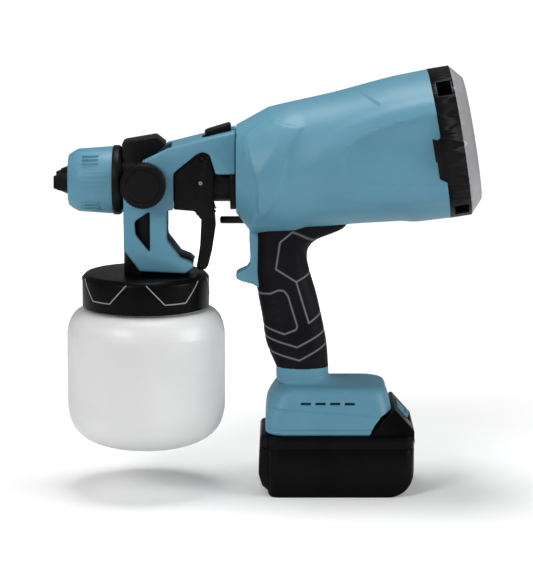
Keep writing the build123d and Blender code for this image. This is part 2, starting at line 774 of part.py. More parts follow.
def gun_body():
    axis = gun_axis_z
    neck_bottom = lid_top_z + seat_gap
    body = rod(gun_line, head_front_x, barrel_rear_x, barrel_radius)
    body += rod(cup_line, neck_bottom, axis, neck_radius)
    hump = face_of([
        gun_point(collar_rear_x + seat_gap, 14.0), gun_point(collar_rear_x + seat_gap, 28.6),
        gun_point(-159.7, 29.7), gun_point(-137.3, 33.5), gun_point(-129.8, 27.6),
        gun_point(-146.0, 14.0),
    ])
    body += across(hump, -13.0, 13.0)
    core_foot = face_of([
        gun_point(-149.0, -lid_drop + 0.3), gun_point(-114.0, -lid_drop + 0.3),
        gun_point(-109.5, -61.0), gun_point(-113.0, -56.6), gun_point(-121.0, -54.0),
        gun_point(-131.0, -44.0), gun_point(-149.0, -44.0),
    ])
    body += across(core_foot, -core_foot_half_width, core_foot_half_width)
    # Air space in the barrel and in the neck.
    body -= rod(gun_line, head_front_x - 1, -168.0, spigot_bore)
    body -= rod(gun_line, -164.0, -136.0, pipe_bore + 0.5)
    body -= rod(gun_line, -136.0, barrel_rear_x + 1, pipe_radius + seat_gap)
    body -= rod(cup_line, lid_top_z + 4, axis, neck_radius - 2.6)
    # Fluid chamber on the gun axis and the riser that feeds it.
    body += rod(gun_line, -176.0, -138.0, 7.0)
    body += rod(cup_line, lid_top_z + 1, axis, 6.0)
    body += rod(cup_line, lid_top_z - 8.5, lid_top_z + 4, lid_socket_radius)
    body -= rod(gun_line, -177.0, -166.0, 4.9 + seat_gap)
    body -= rod(gun_line, -167.0, -143.0, 3.0)
    body -= rod(gun_line, -145.0, -137.0, needle_radius + 1.8)
    body -= rod(cup_line, lid_top_z - 10, axis, 3.0)
    body -= rod(cup_line, lid_top_z - 10, lid_top_z + 6, riser_radius + seat_gap)
    body -= Pos(valve_x, 0, lid_top_z - 2) * Cylinder(2.0, 20)
    for number in range(8):
        turn = Rot(45 * number + 22.5, 0, 0)
        hole = turn * (Pos(-166, spigot_bore - 5.2, 0) * Rot(0, 90, 0) * Cylinder(2.0, 8))
        body -= gun_line.location * hole
    body -= pin(cup_x, axis, spindle_radius + running_gap, -barrel_radius - 1, -barrel_radius + 4.5)
    for x, rise in frame_screw_places:
        body -= pin(x, axis + rise, screw_radius + seat_gap, frame_outer - screw_bite - 0.5, frame_outer)
    return body


def collar_ring():
    return turned([
        (collar_front_x, barrel_radius + seat_gap), (collar_front_x, collar_radius),
        (collar_rear_x - 2.2, collar_radius), (collar_rear_x, collar_radius - 2.2),
        (collar_rear_x, barrel_radius + seat_gap),
    ], gun_line)


def air_pipe():
    pipe = tube(gun_line, -135.8, pipe_end_x, pipe_radius, pipe_bore)
    # Ears for the trigger's pivot pin.
    ears = block((pivot_x - 5.5, pivot_x + 5.5), (-pipe_radius + 0.5, pipe_radius - 0.5),
                 (gun_axis_z + 2, pivot_z + 4.5))
    pipe += ears - rod(gun_line, -120, -90, pipe_radius - 1)
    pipe -= pin(pivot_x, pivot_z, pivot_radius + seat_gap, -pipe_radius, pipe_radius)
    travel = 4.5
    slot = block((link_x - link_radius - 0.3, link_x + link_radius + travel),
                 (-pipe_radius - 1, pipe_radius + 1),
                 (gun_axis_z - link_radius - 0.3, gun_axis_z + link_radius + 0.9))
    pipe -= slot
    # A three-legged seat for the needle's spring, and the groove of the seal ring.
    seat = tube(gun_line, -88.0, -85.0, 5.5, 2.0)
    for number in range(3):
        leg = Pos(-86.5, (pipe_bore + 5.5) / 2, 0) * Box(3, pipe_bore - 4.5, 2.4)
        seat += gun_line.location * (Rot(120 * number + 60, 0, 0) * leg)
    pipe += seat
    return pipe - tube(gun_line, -70.4, -67.6, pipe_radius + 1, pipe_radius - 1.9)


def pipe_seal():
    ring = Plane(origin=(-69.0, 0, gun_axis_z), x_dir=(0, 1, 0), z_dir=(1, 0, 0))
    return ring.location * Torus(pipe_radius - 0.95, 0.95)


def fluid_nozzle():
    body = turned([
        (-174.5, 0), (-174.5, 4.9), (-177.2, 4.9), (-177.2, 7.6), (-181.0, 7.6),
        (-184.0, 6.6), (-198.5, 2.5), (nozzle_tip_x, 2.2), (nozzle_tip_x, 0),
    ], gun_line)
    bore = turned([
        (-174.0, 0), (-174.0, 2.6), (-186.0, 2.6), (-199.5, 1.6), (-204.5, 1.6),
        (nozzle_tip_x + 0.8, 0.9), (nozzle_tip_x - 1, 0.9), (nozzle_tip_x - 1, 0),
    ], gun_line)
    return body - bore


def nozzle_seal():
    return tube(gun_line, -177.2, -176.0, 7.4, 4.9 + seat_gap)


def needle():
    return turned([
        (nozzle_tip_x + 0.6, 0), (nozzle_tip_x + 0.6, 0.4), (nozzle_tip_x + 2.6, needle_radius),
        (link_x - 5, needle_radius), (link_x - 5, 0),
    ], gun_line)


def needle_packing():
    return tube(gun_line, -143.0, -137.0, needle_radius + 1.75, needle_radius + 0.05)


def needle_carrier():
    carrier = rod(gun_line, link_x - 5, link_x + 6, 5.5)
    carrier += rod(gun_line, link_x + 6, link_x + 9, 2.6)
    return carrier - block((link_x - link_radius - 0.1, link_x + link_radius + 0.1), (-8, 8),
                           (gun_axis_z - link_radius - 0.3, gun_axis_z + link_radius + 0.9))


def needle_spring():
    return coil(gun_line, link_x + 6.2, -88.1, 4.2, 0.45, 4)


def trigger():
    axis = gun_axis_z
    cheek = face_of([
        gun_point(-124.1, -19.7), gun_point(-124.1, 9.0), gun_point(-109.0, 21.4),
        gun_point(-105.0, 22.8), gun_point(-100.5, 22.8), gun_point(-97.0, 20.6),
        gun_point(-94.2, 6.0), gun_point(-95.2, -21.0), gun_point(-103.9, -27.4),
        gun_point(-108.5, -21.0),
    ])
    lever = face_of([
        gun_point(-105.6, -21.0), gun_point(-94.9, -21.0), gun_point(-94.1, -25.2),
        gun_point(-93.4, -35.0), gun_point(-96.0, -51.8), gun_point(-98.8, -63.2),
        gun_point(-100.8, -66.2), gun_point(-105.0, -67.0), gun_point(-107.8, -65.3),
        gun_point(-106.2, -56.0),
        gun_point(-105.0, -48.0), gun_point(-103.9, -27.4),
    ])
    bridge = face_of([
        gun_point(-105.6, -20.0), gun_point(-97.0, -19.8), gun_point(-94.9, -22.0),
        gun_point(-94.1, -25.2), gun_point(-103.9, -27.4), gun_point(-105.6, -24.0),
    ])
    body = both_sides(cheek, cheek_inner, cheek_outer)
    body += across(bridge, -cheek_outer, cheek_outer)
    body += across(lever, -9.0, 9.0)
    body -= pin(pivot_x, pivot_z, pivot_radius + running_gap, -frame_outer, frame_outer)
    return body - pin(link_x, axis, link_radius + seat_gap, -frame_outer, frame_outer)


def trigger_pin():
    return pin(pivot_x, pivot_z, pivot_radius, -cheek_outer - 0.2, cheek_outer + 0.2)


def link_pin():
    return pin(link_x, gun_axis_z, link_radius, -cheek_outer - 0.1, cheek_outer + 0.1)


def flow_knob():
    low = -knob_inner - knob_thickness
    high = -frame_outer - face_gap
    points = []
    for tooth in range(2 * knob_teeth):
        angle = pi * tooth / knob_teeth
        radius = knob_radius if tooth % 2 else knob_radius - 0.7
        points.append((cup_x + radius * cos(angle), gun_axis_z + radius * sin(angle)))
    body = across(face_of(points), low + 1.5, -knob_inner)
    body += pin(cup_x, gun_axis_z, knob_radius - 4, -knob_inner - 1, high)
    face = pin(cup_x, gun_axis_z, knob_radius - 1.3, low, low + 2)
    dish = pin(cup_x, gun_axis_z, knob_radius - 4.5, low - 1, low + 0.8)
    bore = pin(cup_x, gun_axis_z, spindle_radius + seat_gap, high - 6, high + 1)
    return body + face - dish - bore


def knob_spindle():
    high = -frame_outer - face_gap
    return pin(cup_x, gun_axis_z, spindle_radius, high - 6, -barrel_radius + 4.2)


def cap_nut():
    mouth = nut_mouth_radius
    thread = barrel_radius + slide_gap
    rear = collar_front_x - face_gap
    nut = turned([
        (nut_front_x, mouth), (nut_front_x, mouth + 1.0), (nut_front_x + 3.5, mouth + 3.6),
        (nut_front_x + 7.5, nut_radius - 1.8), (rear, nut_radius), (rear, thread),
        (nut_front_x + 6.0, thread), (nut_front_x + nut_wall + 0.7, thread - 1.5),
        (nut_front_x + nut_wall + 0.7, mouth),
    ], gun_line)
    for quarter in range(4):
        for number in (-1, 0, 1):
            rib = Pos(nut_front_x + 17, nut_radius - 0.5, 0) * Box(12, 2.6, 1.2)
            turn = 45 + 90 * quarter + 8 * number
            nut += gun_line.location * (Rot(turn, 0, 0) * rib) & nut_limit()
    return nut


def nut_limit():
    return rod(gun_line, nut_front_x, collar_front_x - face_gap, nut_radius + 0.3)


def air_cap():
    front = nut_front_x
    cap = turned([
        (front + 0.3, 0), (front + 0.3, mouth_fit()), (front + nut_wall + 1.0, mouth_fit()),
        (front + nut_wall + 1.0, barrel_radius - 1.6), (front + nut_wall + 4.0, barrel_radius - 1.6),
        (front + nut_wall + 4.0, 12.0), (front + nut_wall + 1.5, 10.0),
        (front + nut_wall + 1.5, 0),
    ], gun_line)
    cap += turned([(front + 0.4, 0), (front + 0.4, 11.0), (front - 6.0, 8.4),
                   (front - 6.0, 0)], gun_line)
    horn = face_of([
        (front + 0.5, gun_axis_z - 6.2), (front - 6.0, gun_axis_z - 6.2),
        (front - 10.5, gun_axis_z - 4.4), (front - 10.5, gun_axis_z + 4.4),
        (front - 6.0, gun_axis_z + 6.2), (front + 0.5, gun_axis_z + 6.2),
    ])
    cap += both_sides(horn, 11.0, 15.0)
    bore = turned([
        (front - 7, 0), (front - 7, 2.9), (front - 3, 2.9), (front + 2, 8.0),
        (front + nut_wall + 5, 8.6), (front + nut_wall + 5, 0),
    ], gun_line)
    cap -= bore
    for side in (-1, 1):
        cap -= Pos(front - 2, side * 12.6, gun_axis_z) * Rot(0, 90, 0) * Cylinder(1.2, 12)
    return cap


def mouth_fit():
    return nut_mouth_radius - face_gap


def release_button():
    top = face_of([
        gun_point(-101.2, 31.0), gun_point(-81.8, 35.4), gun_point(-81.8, 42.4),
        gun_point(-84.0, 42.6), gun_point(-100.4, 37.6), gun_point(-101.2, 36.4),
    ])
    body = across(top, -button_half_width, button_half_width)
    body += block((-97, -87), (-4.5, 4.5), (gun_axis_z + 26.5, gun_axis_z + 35))
    # The latch finger that reaches through the blower's front wall.
    body += block((-88.2, seam_x + 4), (-5, 5), (gun_axis_z + 24.4, gun_axis_z + 27.9))
    return body


def release_spring():
    line = Plane(origin=(-92, 0, 0), x_dir=(0, 0, 1), z_dir=(0, -1, 0))
    return coil(line, gun_axis_z + pipe_radius + 0.3, gun_axis_z + 26.4, 3.0, 0.4, 4)


def lid():
    top = lid_top_z
    return turned([
        (top, lid_socket_radius + seat_gap), (top, lid_radius - 3.0), (top - 3.0, lid_radius),
        (lid_bottom_z, lid_radius), (lid_bottom_z, lid_radius - lid_wall),
        (top - lid_top_wall, lid_radius - lid_wall),
        (top - lid_top_wall, lid_socket_radius + seat_gap),
    ], cup_line)


def lid_nut():
    return tube(cup_line, lid_top_z - lid_top_wall - 4.4, lid_top_z - lid_top_wall, 16.5,
                lid_socket_radius + seat_gap)


def pickup_tube():
    low = cup_bottom_z + cup_wall + 8
    return tube(cup_line, low, lid_top_z + 6, riser_radius, riser_radius - 1.2)


def pickup_strainer():
    low = cup_bottom_z + cup_wall + 2.5
    cup = turned([
        (low, 0), (low, 5.4), (low + 13, 5.4), (low + 13, 4.05), (low + 1.4, 4.05), (low + 1.4, 0),
    ], cup_line)
    for number in range(4):
        slot = Pos(cup_x, 0, low + 4.5) * Rot(0, 0, 45 * number) * Box(14, 1.2, 3.4)
        cup -= slot
    return cup


def check_valve():
    stem = Pos(valve_x, 0, lid_top_z - 2.25) * Cylinder(2.0 - seat_gap, 12.5)
    lip = Pos(valve_x, 0, lid_top_z - 10.2) * Cylinder(3.0, 3.4)
    return stem + lip


def cup_seal():
    low = lid_top_z - lid_top_wall - face_gap
    return tube(cup_line, low - gasket_thickness, low, cup_neck_radius + 0.6, cup_neck_radius - 5)


def container():
    top = lid_top_z - lid_top_wall - 2 * face_gap - gasket_thickness
    shoulder = lid_bottom_z - 1.0
    low = cup_bottom_z
    neck = cup_neck_radius
    wall = cup_wall
    outer = face_of([
        (low, 0), (low, cup_radius), (shoulder, cup_radius), (shoulder, neck), (top, neck), (top, 0),
    ], [0, 27.0, 13.0, 1.0, 0, 0])
    inner = face_of([
        (low + wall, 0), (low + wall, cup_radius - wall), (shoulder - wall, cup_radius - wall),
        (shoulder - wall, neck - wall - 1), (top + 1, neck - wall - 1), (top + 1, 0),
    ], [0, 27.0 - wall, 13.0 - wall, 1.0, 0, 0])
    cup = cup_line.location * revolve(outer, Axis.X)
    cup -= cup_line.location * revolve(inner, Axis.X)
    for rise in (6.0, 11.0):
        bead = [(shoulder + rise - 1.6, neck - 0.5), (shoulder + rise, neck + cup_thread),
                (shoulder + rise + 1.6, neck - 0.5)]
        cup += turned(bead, cup_line)
    return cup


# ---- all the pieces, each written to its own file -------------------------
def build():
    housing_left, housing_right = halves(housing())
    cover_left, cover_right = halves(grip_cover())
    frame_left, frame_right = halves(frame())
    battery_case, battery_top = battery_shells()
    return {
        "housing_left": housing_left,
        "housing_right": housing_right,
        "grip_cover_left": cover_left,
        "grip_cover_right": cover_right,
        "housing_screws": housing_screws(),
        "outlet_collar": outlet_collar(),
        "outlet_duct": outlet_duct(),
        "fan_case": fan_case(),
        "fan_inlet_plate": fan_inlet_plate(),
        "motor_mount": motor_mount(),
        "motor_can": motor_can(),
        "bearing_front": bearing(motor_start),
        "bearing_rear": bearing(motor_end - bearing_width),
        "motor_shaft": motor_shaft(),
        "armature": armature(),
        "impeller": impeller(),
        "impeller_nut": impeller_nut(),
        "filter_pad": filter_pad(),
        "rear_cover": rear_cover(),
        "motor_switch": motor_switch(),
        "push_rod": push_rod(),
        "rod_spring": rod_spring(),
        "control_board": control_board(),
        "terminal_block": terminal_block(),
        "power_leads": power_leads(),
        "frame_left": frame_left,
        "frame_right": frame_right,
        "frame_screws": frame_screws(),
        "gun_body": gun_body(),
        "collar_ring": collar_ring(),
        "air_pipe": air_pipe(),
        "pipe_seal": pipe_seal(),
        "fluid_nozzle": fluid_nozzle(),
        "nozzle_seal": nozzle_seal(),
        "needle": needle(),
        "needle_packing": needle_packing(),
        "needle_carrier": needle_carrier(),
        "needle_spring": needle_spring(),
        "trigger": trigger(),
        "trigger_pin": trigger_pin(),
        "link_pin": link_pin(),
        "flow_knob": flow_knob(),
        "knob_spindle": knob_spindle(),
        "cap_nut": cap_nut(),
        "air_cap": air_cap(),
        "release_button": release_button(),
        "release_spring": release_spring(),
        "lid": lid(),
        "lid_nut": lid_nut(),
        "pickup_tube": pickup_tube(),
        "pickup_strainer": pickup_strainer(),
        "check_valve": check_valve(),
        "cup_seal": cup_seal(),
        "container": container(),
        "battery_case": battery_case,
        "battery_top": battery_top,
        "battery_cells": battery_cells(),
        "battery_board": battery_board(),
        "battery_button": battery_button(),
    }


for name, solid in build().items():
    export_step(solid, f"parts/{name}.step")
    print(name, round(solid.volume / 1000, 2), "cm3")
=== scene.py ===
import bpy
import json
import math
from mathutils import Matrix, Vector

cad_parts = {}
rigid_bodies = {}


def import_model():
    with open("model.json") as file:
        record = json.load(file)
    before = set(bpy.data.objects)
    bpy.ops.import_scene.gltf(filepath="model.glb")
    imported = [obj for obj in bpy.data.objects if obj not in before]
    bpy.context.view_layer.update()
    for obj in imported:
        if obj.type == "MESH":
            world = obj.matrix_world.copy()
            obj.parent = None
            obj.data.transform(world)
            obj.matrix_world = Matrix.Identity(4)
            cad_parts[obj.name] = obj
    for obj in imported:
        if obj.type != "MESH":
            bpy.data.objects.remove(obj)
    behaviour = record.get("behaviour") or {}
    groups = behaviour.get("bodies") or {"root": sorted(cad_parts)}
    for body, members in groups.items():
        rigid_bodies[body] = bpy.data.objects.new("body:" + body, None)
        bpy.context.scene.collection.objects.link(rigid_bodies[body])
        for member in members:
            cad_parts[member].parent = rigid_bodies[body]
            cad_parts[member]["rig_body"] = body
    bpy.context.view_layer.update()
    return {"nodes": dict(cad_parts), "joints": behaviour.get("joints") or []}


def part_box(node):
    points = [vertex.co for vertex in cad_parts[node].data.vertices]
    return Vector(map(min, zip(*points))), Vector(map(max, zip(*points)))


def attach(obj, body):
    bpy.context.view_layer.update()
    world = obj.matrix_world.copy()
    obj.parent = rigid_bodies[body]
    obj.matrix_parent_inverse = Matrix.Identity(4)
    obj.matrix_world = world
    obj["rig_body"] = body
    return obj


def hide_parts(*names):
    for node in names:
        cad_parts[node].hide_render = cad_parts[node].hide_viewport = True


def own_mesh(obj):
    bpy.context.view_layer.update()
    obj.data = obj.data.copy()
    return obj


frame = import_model()
mm = 0.001  # sizes in the dictionaries below are millimetres


def boxOf(node):
    low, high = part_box(node)
    return low / mm, high / mm


jointOf = {joint["name"]: joint for joint in frame["joints"]}
gunAxisZ = sum(corner.z for corner in boxOf("cap_nut")) / 2
cupX = sum(corner.x for corner in boxOf("lid")) / 2
seamX = boxOf("outlet_collar")[1].x
blowerAlong = Vector(jointOf["rotor_spin"]["axis"]).normalized()
blowerUp = Vector((-blowerAlong.z, 0, blowerAlong.x))
shaftBox = boxOf("motor_shaft")
shaftMiddle = (shaftBox[0] + shaftBox[1]) / 2
blowerStart = shaftMiddle + blowerAlong * ((seamX - shaftMiddle.x) / blowerAlong.x)


def linear(hexColour):
    parts = [int(hexColour[i:i + 2], 16) / 255 for i in (1, 3, 5)]
    curve = [p / 12.92 if p <= 0.04045 else ((p + 0.055) / 1.055) ** 2.4 for p in parts]
    return (*curve, 1.0)


def addNode(tree, kind, settings=None, links=None):
    node = tree.nodes.new(kind)
    for key, value in (settings or {}).items():
        if key in node.inputs:
            node.inputs[key].default_value = value
        else:
            setattr(node, key, value)
    for key, (source, output) in (links or {}).items():
        tree.links.new(source.outputs[output], node.inputs[key])
    return node


def smooth(value):
    share = min(max(value, 0.0), 1.0)
    return share * share * (3 - 2 * share)


def curveThrough(points, at):
    # a smooth curve through (place, value) points, flat beyond its ends
    if at <= points[0][0]:
        return points[0][1]
    if at >= points[-1][0]:
        return points[-1][1]
    last = len(points) - 1
    i = max(k for k in range(last) if points[k][0] <= at)
    slopes = []
    for k in (i, i + 1):
        a, b = points[max(k - 1, 0)], points[min(k + 1, last)]
        slopes.append((b[1] - a[1]) / (b[0] - a[0]))
    (x0, y0), (x1, y1) = points[i], points[i + 1]
    span = x1 - x0
    s = (at - x0) / span
    return ((2 * s**3 - 3 * s**2 + 1) * y0 + (s**3 - 2 * s**2 + s) * span * slopes[0]
            + (3 * s**2 - 2 * s**3) * y1 + (s**3 - s**2) * span * slopes[1])


def awayFromLine(x, z, points):
    # distance from a point to a line of straight runs
    best = 1e9
    for (ax, az), (bx, bz) in zip(points, points[1:]):
        dx, dz = bx - ax, bz - az
        share = ((x - ax) * dx + (z - az) * dz) / (dx * dx + dz * dz)
        share = min(max(share, 0.0), 1.0)
        best = min(best, math.hypot(x - ax - share * dx, z - az - share * dz))
    return best


def insideOf(x, z, points):
    # positive distance inside a closed outline, negative outside
    inside = False
    for (ax, az), (bx, bz) in zip(points, points[1:] + points[:1]):
        if (az > z) != (bz > z) and x < (bx - ax) * (z - az) / (bz - az) + ax:
            inside = not inside
    away = awayFromLine(x, z, points + points[:1])
    return away if inside else -away


def deselect():
    bpy.ops.object.select_all(action="DESELECT")


def only(piece):
    deselect()
    piece.select_set(True)
    bpy.context.view_layer.objects.active = piece


def edit(piece, selectMode="VERT"):
    only(piece)
    bpy.ops.object.mode_set(mode="EDIT")
    bpy.ops.mesh.select_mode(type=selectMode)
    bpy.ops.mesh.select_all(action="DESELECT")


def leaveEdit():
    bpy.ops.object.mode_set(mode="OBJECT")


def closeHoles(piece):
    edit(piece, "EDGE")
    bpy.ops.mesh.select_non_manifold(extend=False, use_wire=False, use_boundary=True,
                                     use_multi_face=False, use_non_contiguous=False, use_verts=False)
    bpy.ops.mesh.fill_holes(sides=0)
    leaveEdit()


def cleanUp(piece, merge=0.01, recalculate=True):
    edit(piece)
    bpy.ops.mesh.select_all(action="SELECT")
    bpy.ops.mesh.remove_doubles(threshold=merge * mm)
    if recalculate:
        bpy.ops.mesh.normals_make_consistent(inside=False)
    leaveEdit()


def applyModifier(piece, kind, **settings):
    only(piece)
    modifier = piece.modifiers.new(kind.title(), kind)
    for key, value in settings.items():
        setattr(modifier, key, value)
    bpy.ops.object.modifier_apply(modifier=modifier.name)


def softEdges(piece, width, angle=30, segments=2):
    applyModifier(piece, "BEVEL", width=width * mm, segments=segments, limit_method="ANGLE",
                  angle_limit=math.radians(angle), use_clamp_overlap=False,
                  miter_outer="MITER_ARC", harden_normals=False)


def cutAway(piece, cutter):
    applyModifier(piece, "BOOLEAN", object=cutter, operation="DIFFERENCE", solver="EXACT")
    bpy.data.objects.remove(cutter)


def joinTo(piece, *others):
    deselect()
    for other in others:
        other.select_set(True)
    piece.select_set(True)
    bpy.context.view_layer.objects.active = piece
    bpy.ops.object.join()
    return piece


def place(piece):
    # the place goes into the mesh, so that the object sits at the origin
    only(piece)
    bpy.ops.object.transform_apply(location=True, rotation=True, scale=True)


def finishPiece(piece, material, body, replaced=(), angle=32):
    place(piece)
    piece.data.materials.clear()
    piece.data.materials.append(material)
    only(piece)
    bpy.ops.object.shade_smooth_by_angle(angle=math.radians(angle))
    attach(piece, body)
    if replaced:
        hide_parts(*replaced)
    return piece


def copyOfNode(node, name, joinFlats=True):
    # joinFlats makes one face of the triangles on each flat, so that its edges can be bevelled
    deselect()
    source = frame["nodes"][node]
    piece = source.copy()
    piece.data = source.data.copy()
    piece.name = name
    piece.parent = None
    for key in list(piece.keys()):
        del piece[key]
    bpy.context.scene.collection.objects.link(piece)
    edit(piece)
    bpy.ops.mesh.select_all(action="SELECT")
    bpy.ops.mesh.remove_doubles(threshold=0.004 * mm)
    if joinFlats:
        bpy.ops.mesh.dissolve_limited(angle_limit=math.radians(0.6))
    leaveEdit()
    return piece


def bentGrid(name, across, along, placeOf):
    # a flat grid whose points go where placeOf(u, w) says, u and w from 0 to 1
    deselect()
    bpy.ops.mesh.primitive_grid_add(x_subdivisions=across, y_subdivisions=along, size=1)
    piece = bpy.context.object
    piece.name = name
    for vertex in piece.data.vertices:
        vertex.co = Vector(placeOf(vertex.co.x + 0.5, vertex.co.y + 0.5)) * mm
    return piece


def prism(name, outline, lowY, highY):
    # a side outline of (x, z) points, run across from one y to the other
    deselect()
    bpy.ops.mesh.primitive_circle_add(vertices=len(outline), fill_type="NGON")
    piece = bpy.context.object
    piece.name = name
    for vertex, (x, z) in zip(piece.data.vertices, outline):
        vertex.co = Vector((x, lowY, z)) * mm
    edit(piece, "FACE")
    bpy.ops.mesh.select_all(action="SELECT")
    bpy.ops.mesh.extrude_region_move(TRANSFORM_OT_translate={"value": (0, (highY - lowY) * mm, 0)})
    bpy.ops.mesh.select_all(action="SELECT")
    bpy.ops.mesh.normals_make_consistent(inside=False)
    leaveEdit()
    return piece


def spun(name, profile, centre, axis, steps=128):
    # a profile of (place along the axis, radius), spun about the axis
    deselect()
    bpy.ops.mesh.primitive_circle_add(vertices=len(profile), fill_type="NOTHING")
    piece = bpy.context.object
    piece.name = name
    axis = Vector(axis).normalized()
    side = Vector((0, 1, 0))
    for vertex, (along, radius) in zip(piece.data.vertices, profile):
        vertex.co = (Vector(centre) + axis * along + side * radius) * mm
    edit(piece)
    bpy.ops.mesh.select_all(action="SELECT")
    bpy.ops.mesh.spin(steps=steps, angle=math.tau, center=Vector(centre) * mm, axis=axis)
    bpy.ops.mesh.select_all(action="SELECT")
    bpy.ops.mesh.remove_doubles(threshold=0.002 * mm)
    bpy.ops.mesh.normals_make_consistent(inside=False)
    leaveEdit()
    return piece


def roundedOutline(front, rear, halfWidth, corner, share):
    # a point on half of a rounded oblong, from the middle of its front to the middle of its rear
    fullest = 0.98  # a corner never takes quite all of a side
    corner = min(corner, halfWidth * fullest, (rear - front) / 2 * fullest)
    flatEnd = halfWidth - corner
    flatSide = (rear - front) - 2 * corner
    arc = math.pi / 2 * corner
    run = share * (2 * flatEnd + flatSide + 2 * arc)
    if run < flatEnd:
        return front, run
    run -= flatEnd
    if run < arc:
        turn = run / corner
        return front + corner * (1 - math.cos(turn)), flatEnd + corner * math.sin(turn)
    run -= arc
    if run < flatSide:
        return front + corner + run, halfWidth
    run -= flatSide
    if run < arc:
        turn = run / corner
        return rear - corner + corner * math.sin(turn), flatEnd + corner * math.cos(turn)
    return rear, max(flatEnd - (run - arc), 0.0)


print("frame loaded")


def plastic(name, values):
    # patches a few centimetres wide change the colour a little, and a fine grain breaks the gloss
    material = bpy.data.materials.new(name)
    material.use_nodes = True
    tree = material.node_tree
    tree.nodes.clear()
    coords = addNode(tree, "ShaderNodeTexCoord")
    patches = addNode(tree, "ShaderNodeTexNoise",
                      {"Scale": 1 / (values["patch"] * mm), "Detail": 3.0}, {"Vector": (coords, "Object")})
    grain = addNode(tree, "ShaderNodeTexNoise",
                    {"Scale": 1 / (values["grain"] * mm), "Detail": 2.0}, {"Vector": (coords, "Object")})
    colours = addNode(tree, "ShaderNodeValToRGB", None, {"Fac": (patches, "Fac")})
    colours.color_ramp.elements[0].position = 0.35
    colours.color_ramp.elements[0].color = linear(values["dark"])
    colours.color_ramp.elements[1].position = 0.65
    colours.color_ramp.elements[1].color = linear(values["light"])
    colourSource = (colours, "Color")
    if values.get("lineHighlightColour"):
        # moulded lines get a paler colour, a painted highlight; their places are painted on the mesh as an
        # attribute
        lines = addNode(tree, "ShaderNodeAttribute", {"attribute_name": "grooveHighlight"})
        mix = addNode(tree, "ShaderNodeMixRGB", {"Color2": linear(values["lineHighlightColour"])},
                      {"Fac": (lines, "Fac"), "Color1": colourSource})
        colourSource = (mix, "Color")
    rough = addNode(tree, "ShaderNodeMapRange",
                    {"From Min": 0.3, "From Max": 0.7,
                     "To Min": values["rough"] - values["roughSpread"],
                     "To Max": values["rough"] + values["roughSpread"]}, {"Value": (grain, "Fac")})
    bump = addNode(tree, "ShaderNodeBump",
                   {"Strength": values["bump"], "Distance": 0.2 * mm}, {"Height": (grain, "Fac")})
    settings = {"IOR": values.get("ior", 1.5), "Specular IOR Level": values.get("specular", 0.5)}
    settings.update(values.get("more", {}))
    surface = addNode(tree, "ShaderNodeBsdfPrincipled", settings,
                      {"Base Color": colourSource, "Roughness": (rough, "Result"),
                       "Normal": (bump, "Normal")})
    addNode(tree, "ShaderNodeOutputMaterial", None, {"Surface": (surface, "BSDF")})
    return material


def metal(name, values):
    # turned metal: fine rings of tool marks and a little dulling
    material = bpy.data.materials.new(name)
    material.use_nodes = True
    tree = material.node_tree
    tree.nodes.clear()
    coords = addNode(tree, "ShaderNodeTexCoord")
    stretch = addNode(tree, "ShaderNodeMapping", {"Scale": values["stretch"]},
                      {"Vector": (coords, "Object")})
    marks = addNode(tree, "ShaderNodeTexNoise",
                    {"Scale": 1 / (values["marks"] * mm), "Detail": 4.0}, {"Vector": (stretch, "Vector")})
    colours = addNode(tree, "ShaderNodeValToRGB", None, {"Fac": (marks, "Fac")})
    colours.color_ramp.elements[0].color = linear(values["dark"])
    colours.color_ramp.elements[1].color = linear(values["light"])
    rough = addNode(tree, "ShaderNodeMapRange",
                    {"To Min": values["rough"] - 0.08, "To Max": values["rough"] + 0.08},
                    {"Value": (marks, "Fac")})
    bump = addNode(tree, "ShaderNodeBump", {"Strength": 0.3, "Distance": 0.05 * mm},
                   {"Height": (marks, "Fac")})
    surface = addNode(tree, "ShaderNodeBsdfPrincipled", {"Metallic": 1.0},
                      {"Base Color": (colours, "Color"), "Roughness": (rough, "Result"),
                       "Normal": (bump, "Normal")})
    addNode(tree, "ShaderNodeOutputMaterial", None, {"Surface": (surface, "BSDF")})
    return material


# Injection-moulded ABS, satin from a spark-eroded mould: even blue, wide soft highlights.
mouldedAbs = plastic("mouldedAbsTeal", {
    "dark": "#568aa0", "light": "#5b90a5", "patch": 45, "grain": 0.9, "rough": 0.46,
    "roughSpread": 0.05, "bump": 0.06, "specular": 0.35})
# Glass-filled nylon, matt: nearly black, dull sheen, coarser grain.
glassFilledNylon = plastic("glassFilledNylonBlack", {
    "dark": "#0a0a0b", "light": "#0f0f11", "patch": 30, "grain": 1.0, "rough": 0.45,
    "roughSpread": 0.06, "bump": 0.10, "specular": 0.12})
# Thermoplastic rubber over the grip: matt, soft, its moulded lines a little paler, a painted highlight.
grippyRubber = plastic("thermoplasticRubber", {
    "dark": "#0d0d10", "light": "#121215", "patch": 25, "grain": 1.1, "rough": 0.55,
    "roughSpread": 0.07, "bump": 0.18, "specular": 0.08, "lineHighlightColour": "#8b8b8d"})
# Polished ABS of the battery and the lid: black, with a dim, narrow highlight; its line colour is a
# painted highlight.
polishedAbs = plastic("polishedAbsBlack", {
    "dark": "#060607", "light": "#0a0a0b", "patch": 40, "grain": 1.3, "rough": 0.32,
    "roughSpread": 0.05, "bump": 0.07, "specular": 0.07, "lineHighlightColour": "#77777a"})
# Blow-moulded polyethylene: milky white, light goes a little way in.
blowMouldedPolyethylene = plastic("blowMouldedPolyethylene", {
    "dark": "#dcdcdd", "light": "#e2e2e2", "patch": 60, "grain": 1.6, "rough": 0.38,
    "roughSpread": 0.05, "bump": 0.05, "ior": 1.54,
    "more": {"Subsurface Weight": 0.4, "Subsurface Radius": (0.004, 0.004, 0.004),
             "Subsurface Scale": 1.0}})
# Unpainted polypropylene for the inner parts.
naturalPolypropylene = plastic("polypropyleneGrey", {
    "dark": "#47474a", "light": "#515154", "patch": 20, "grain": 1.0, "rough": 0.5,
    "roughSpread": 0.06, "bump": 0.1})
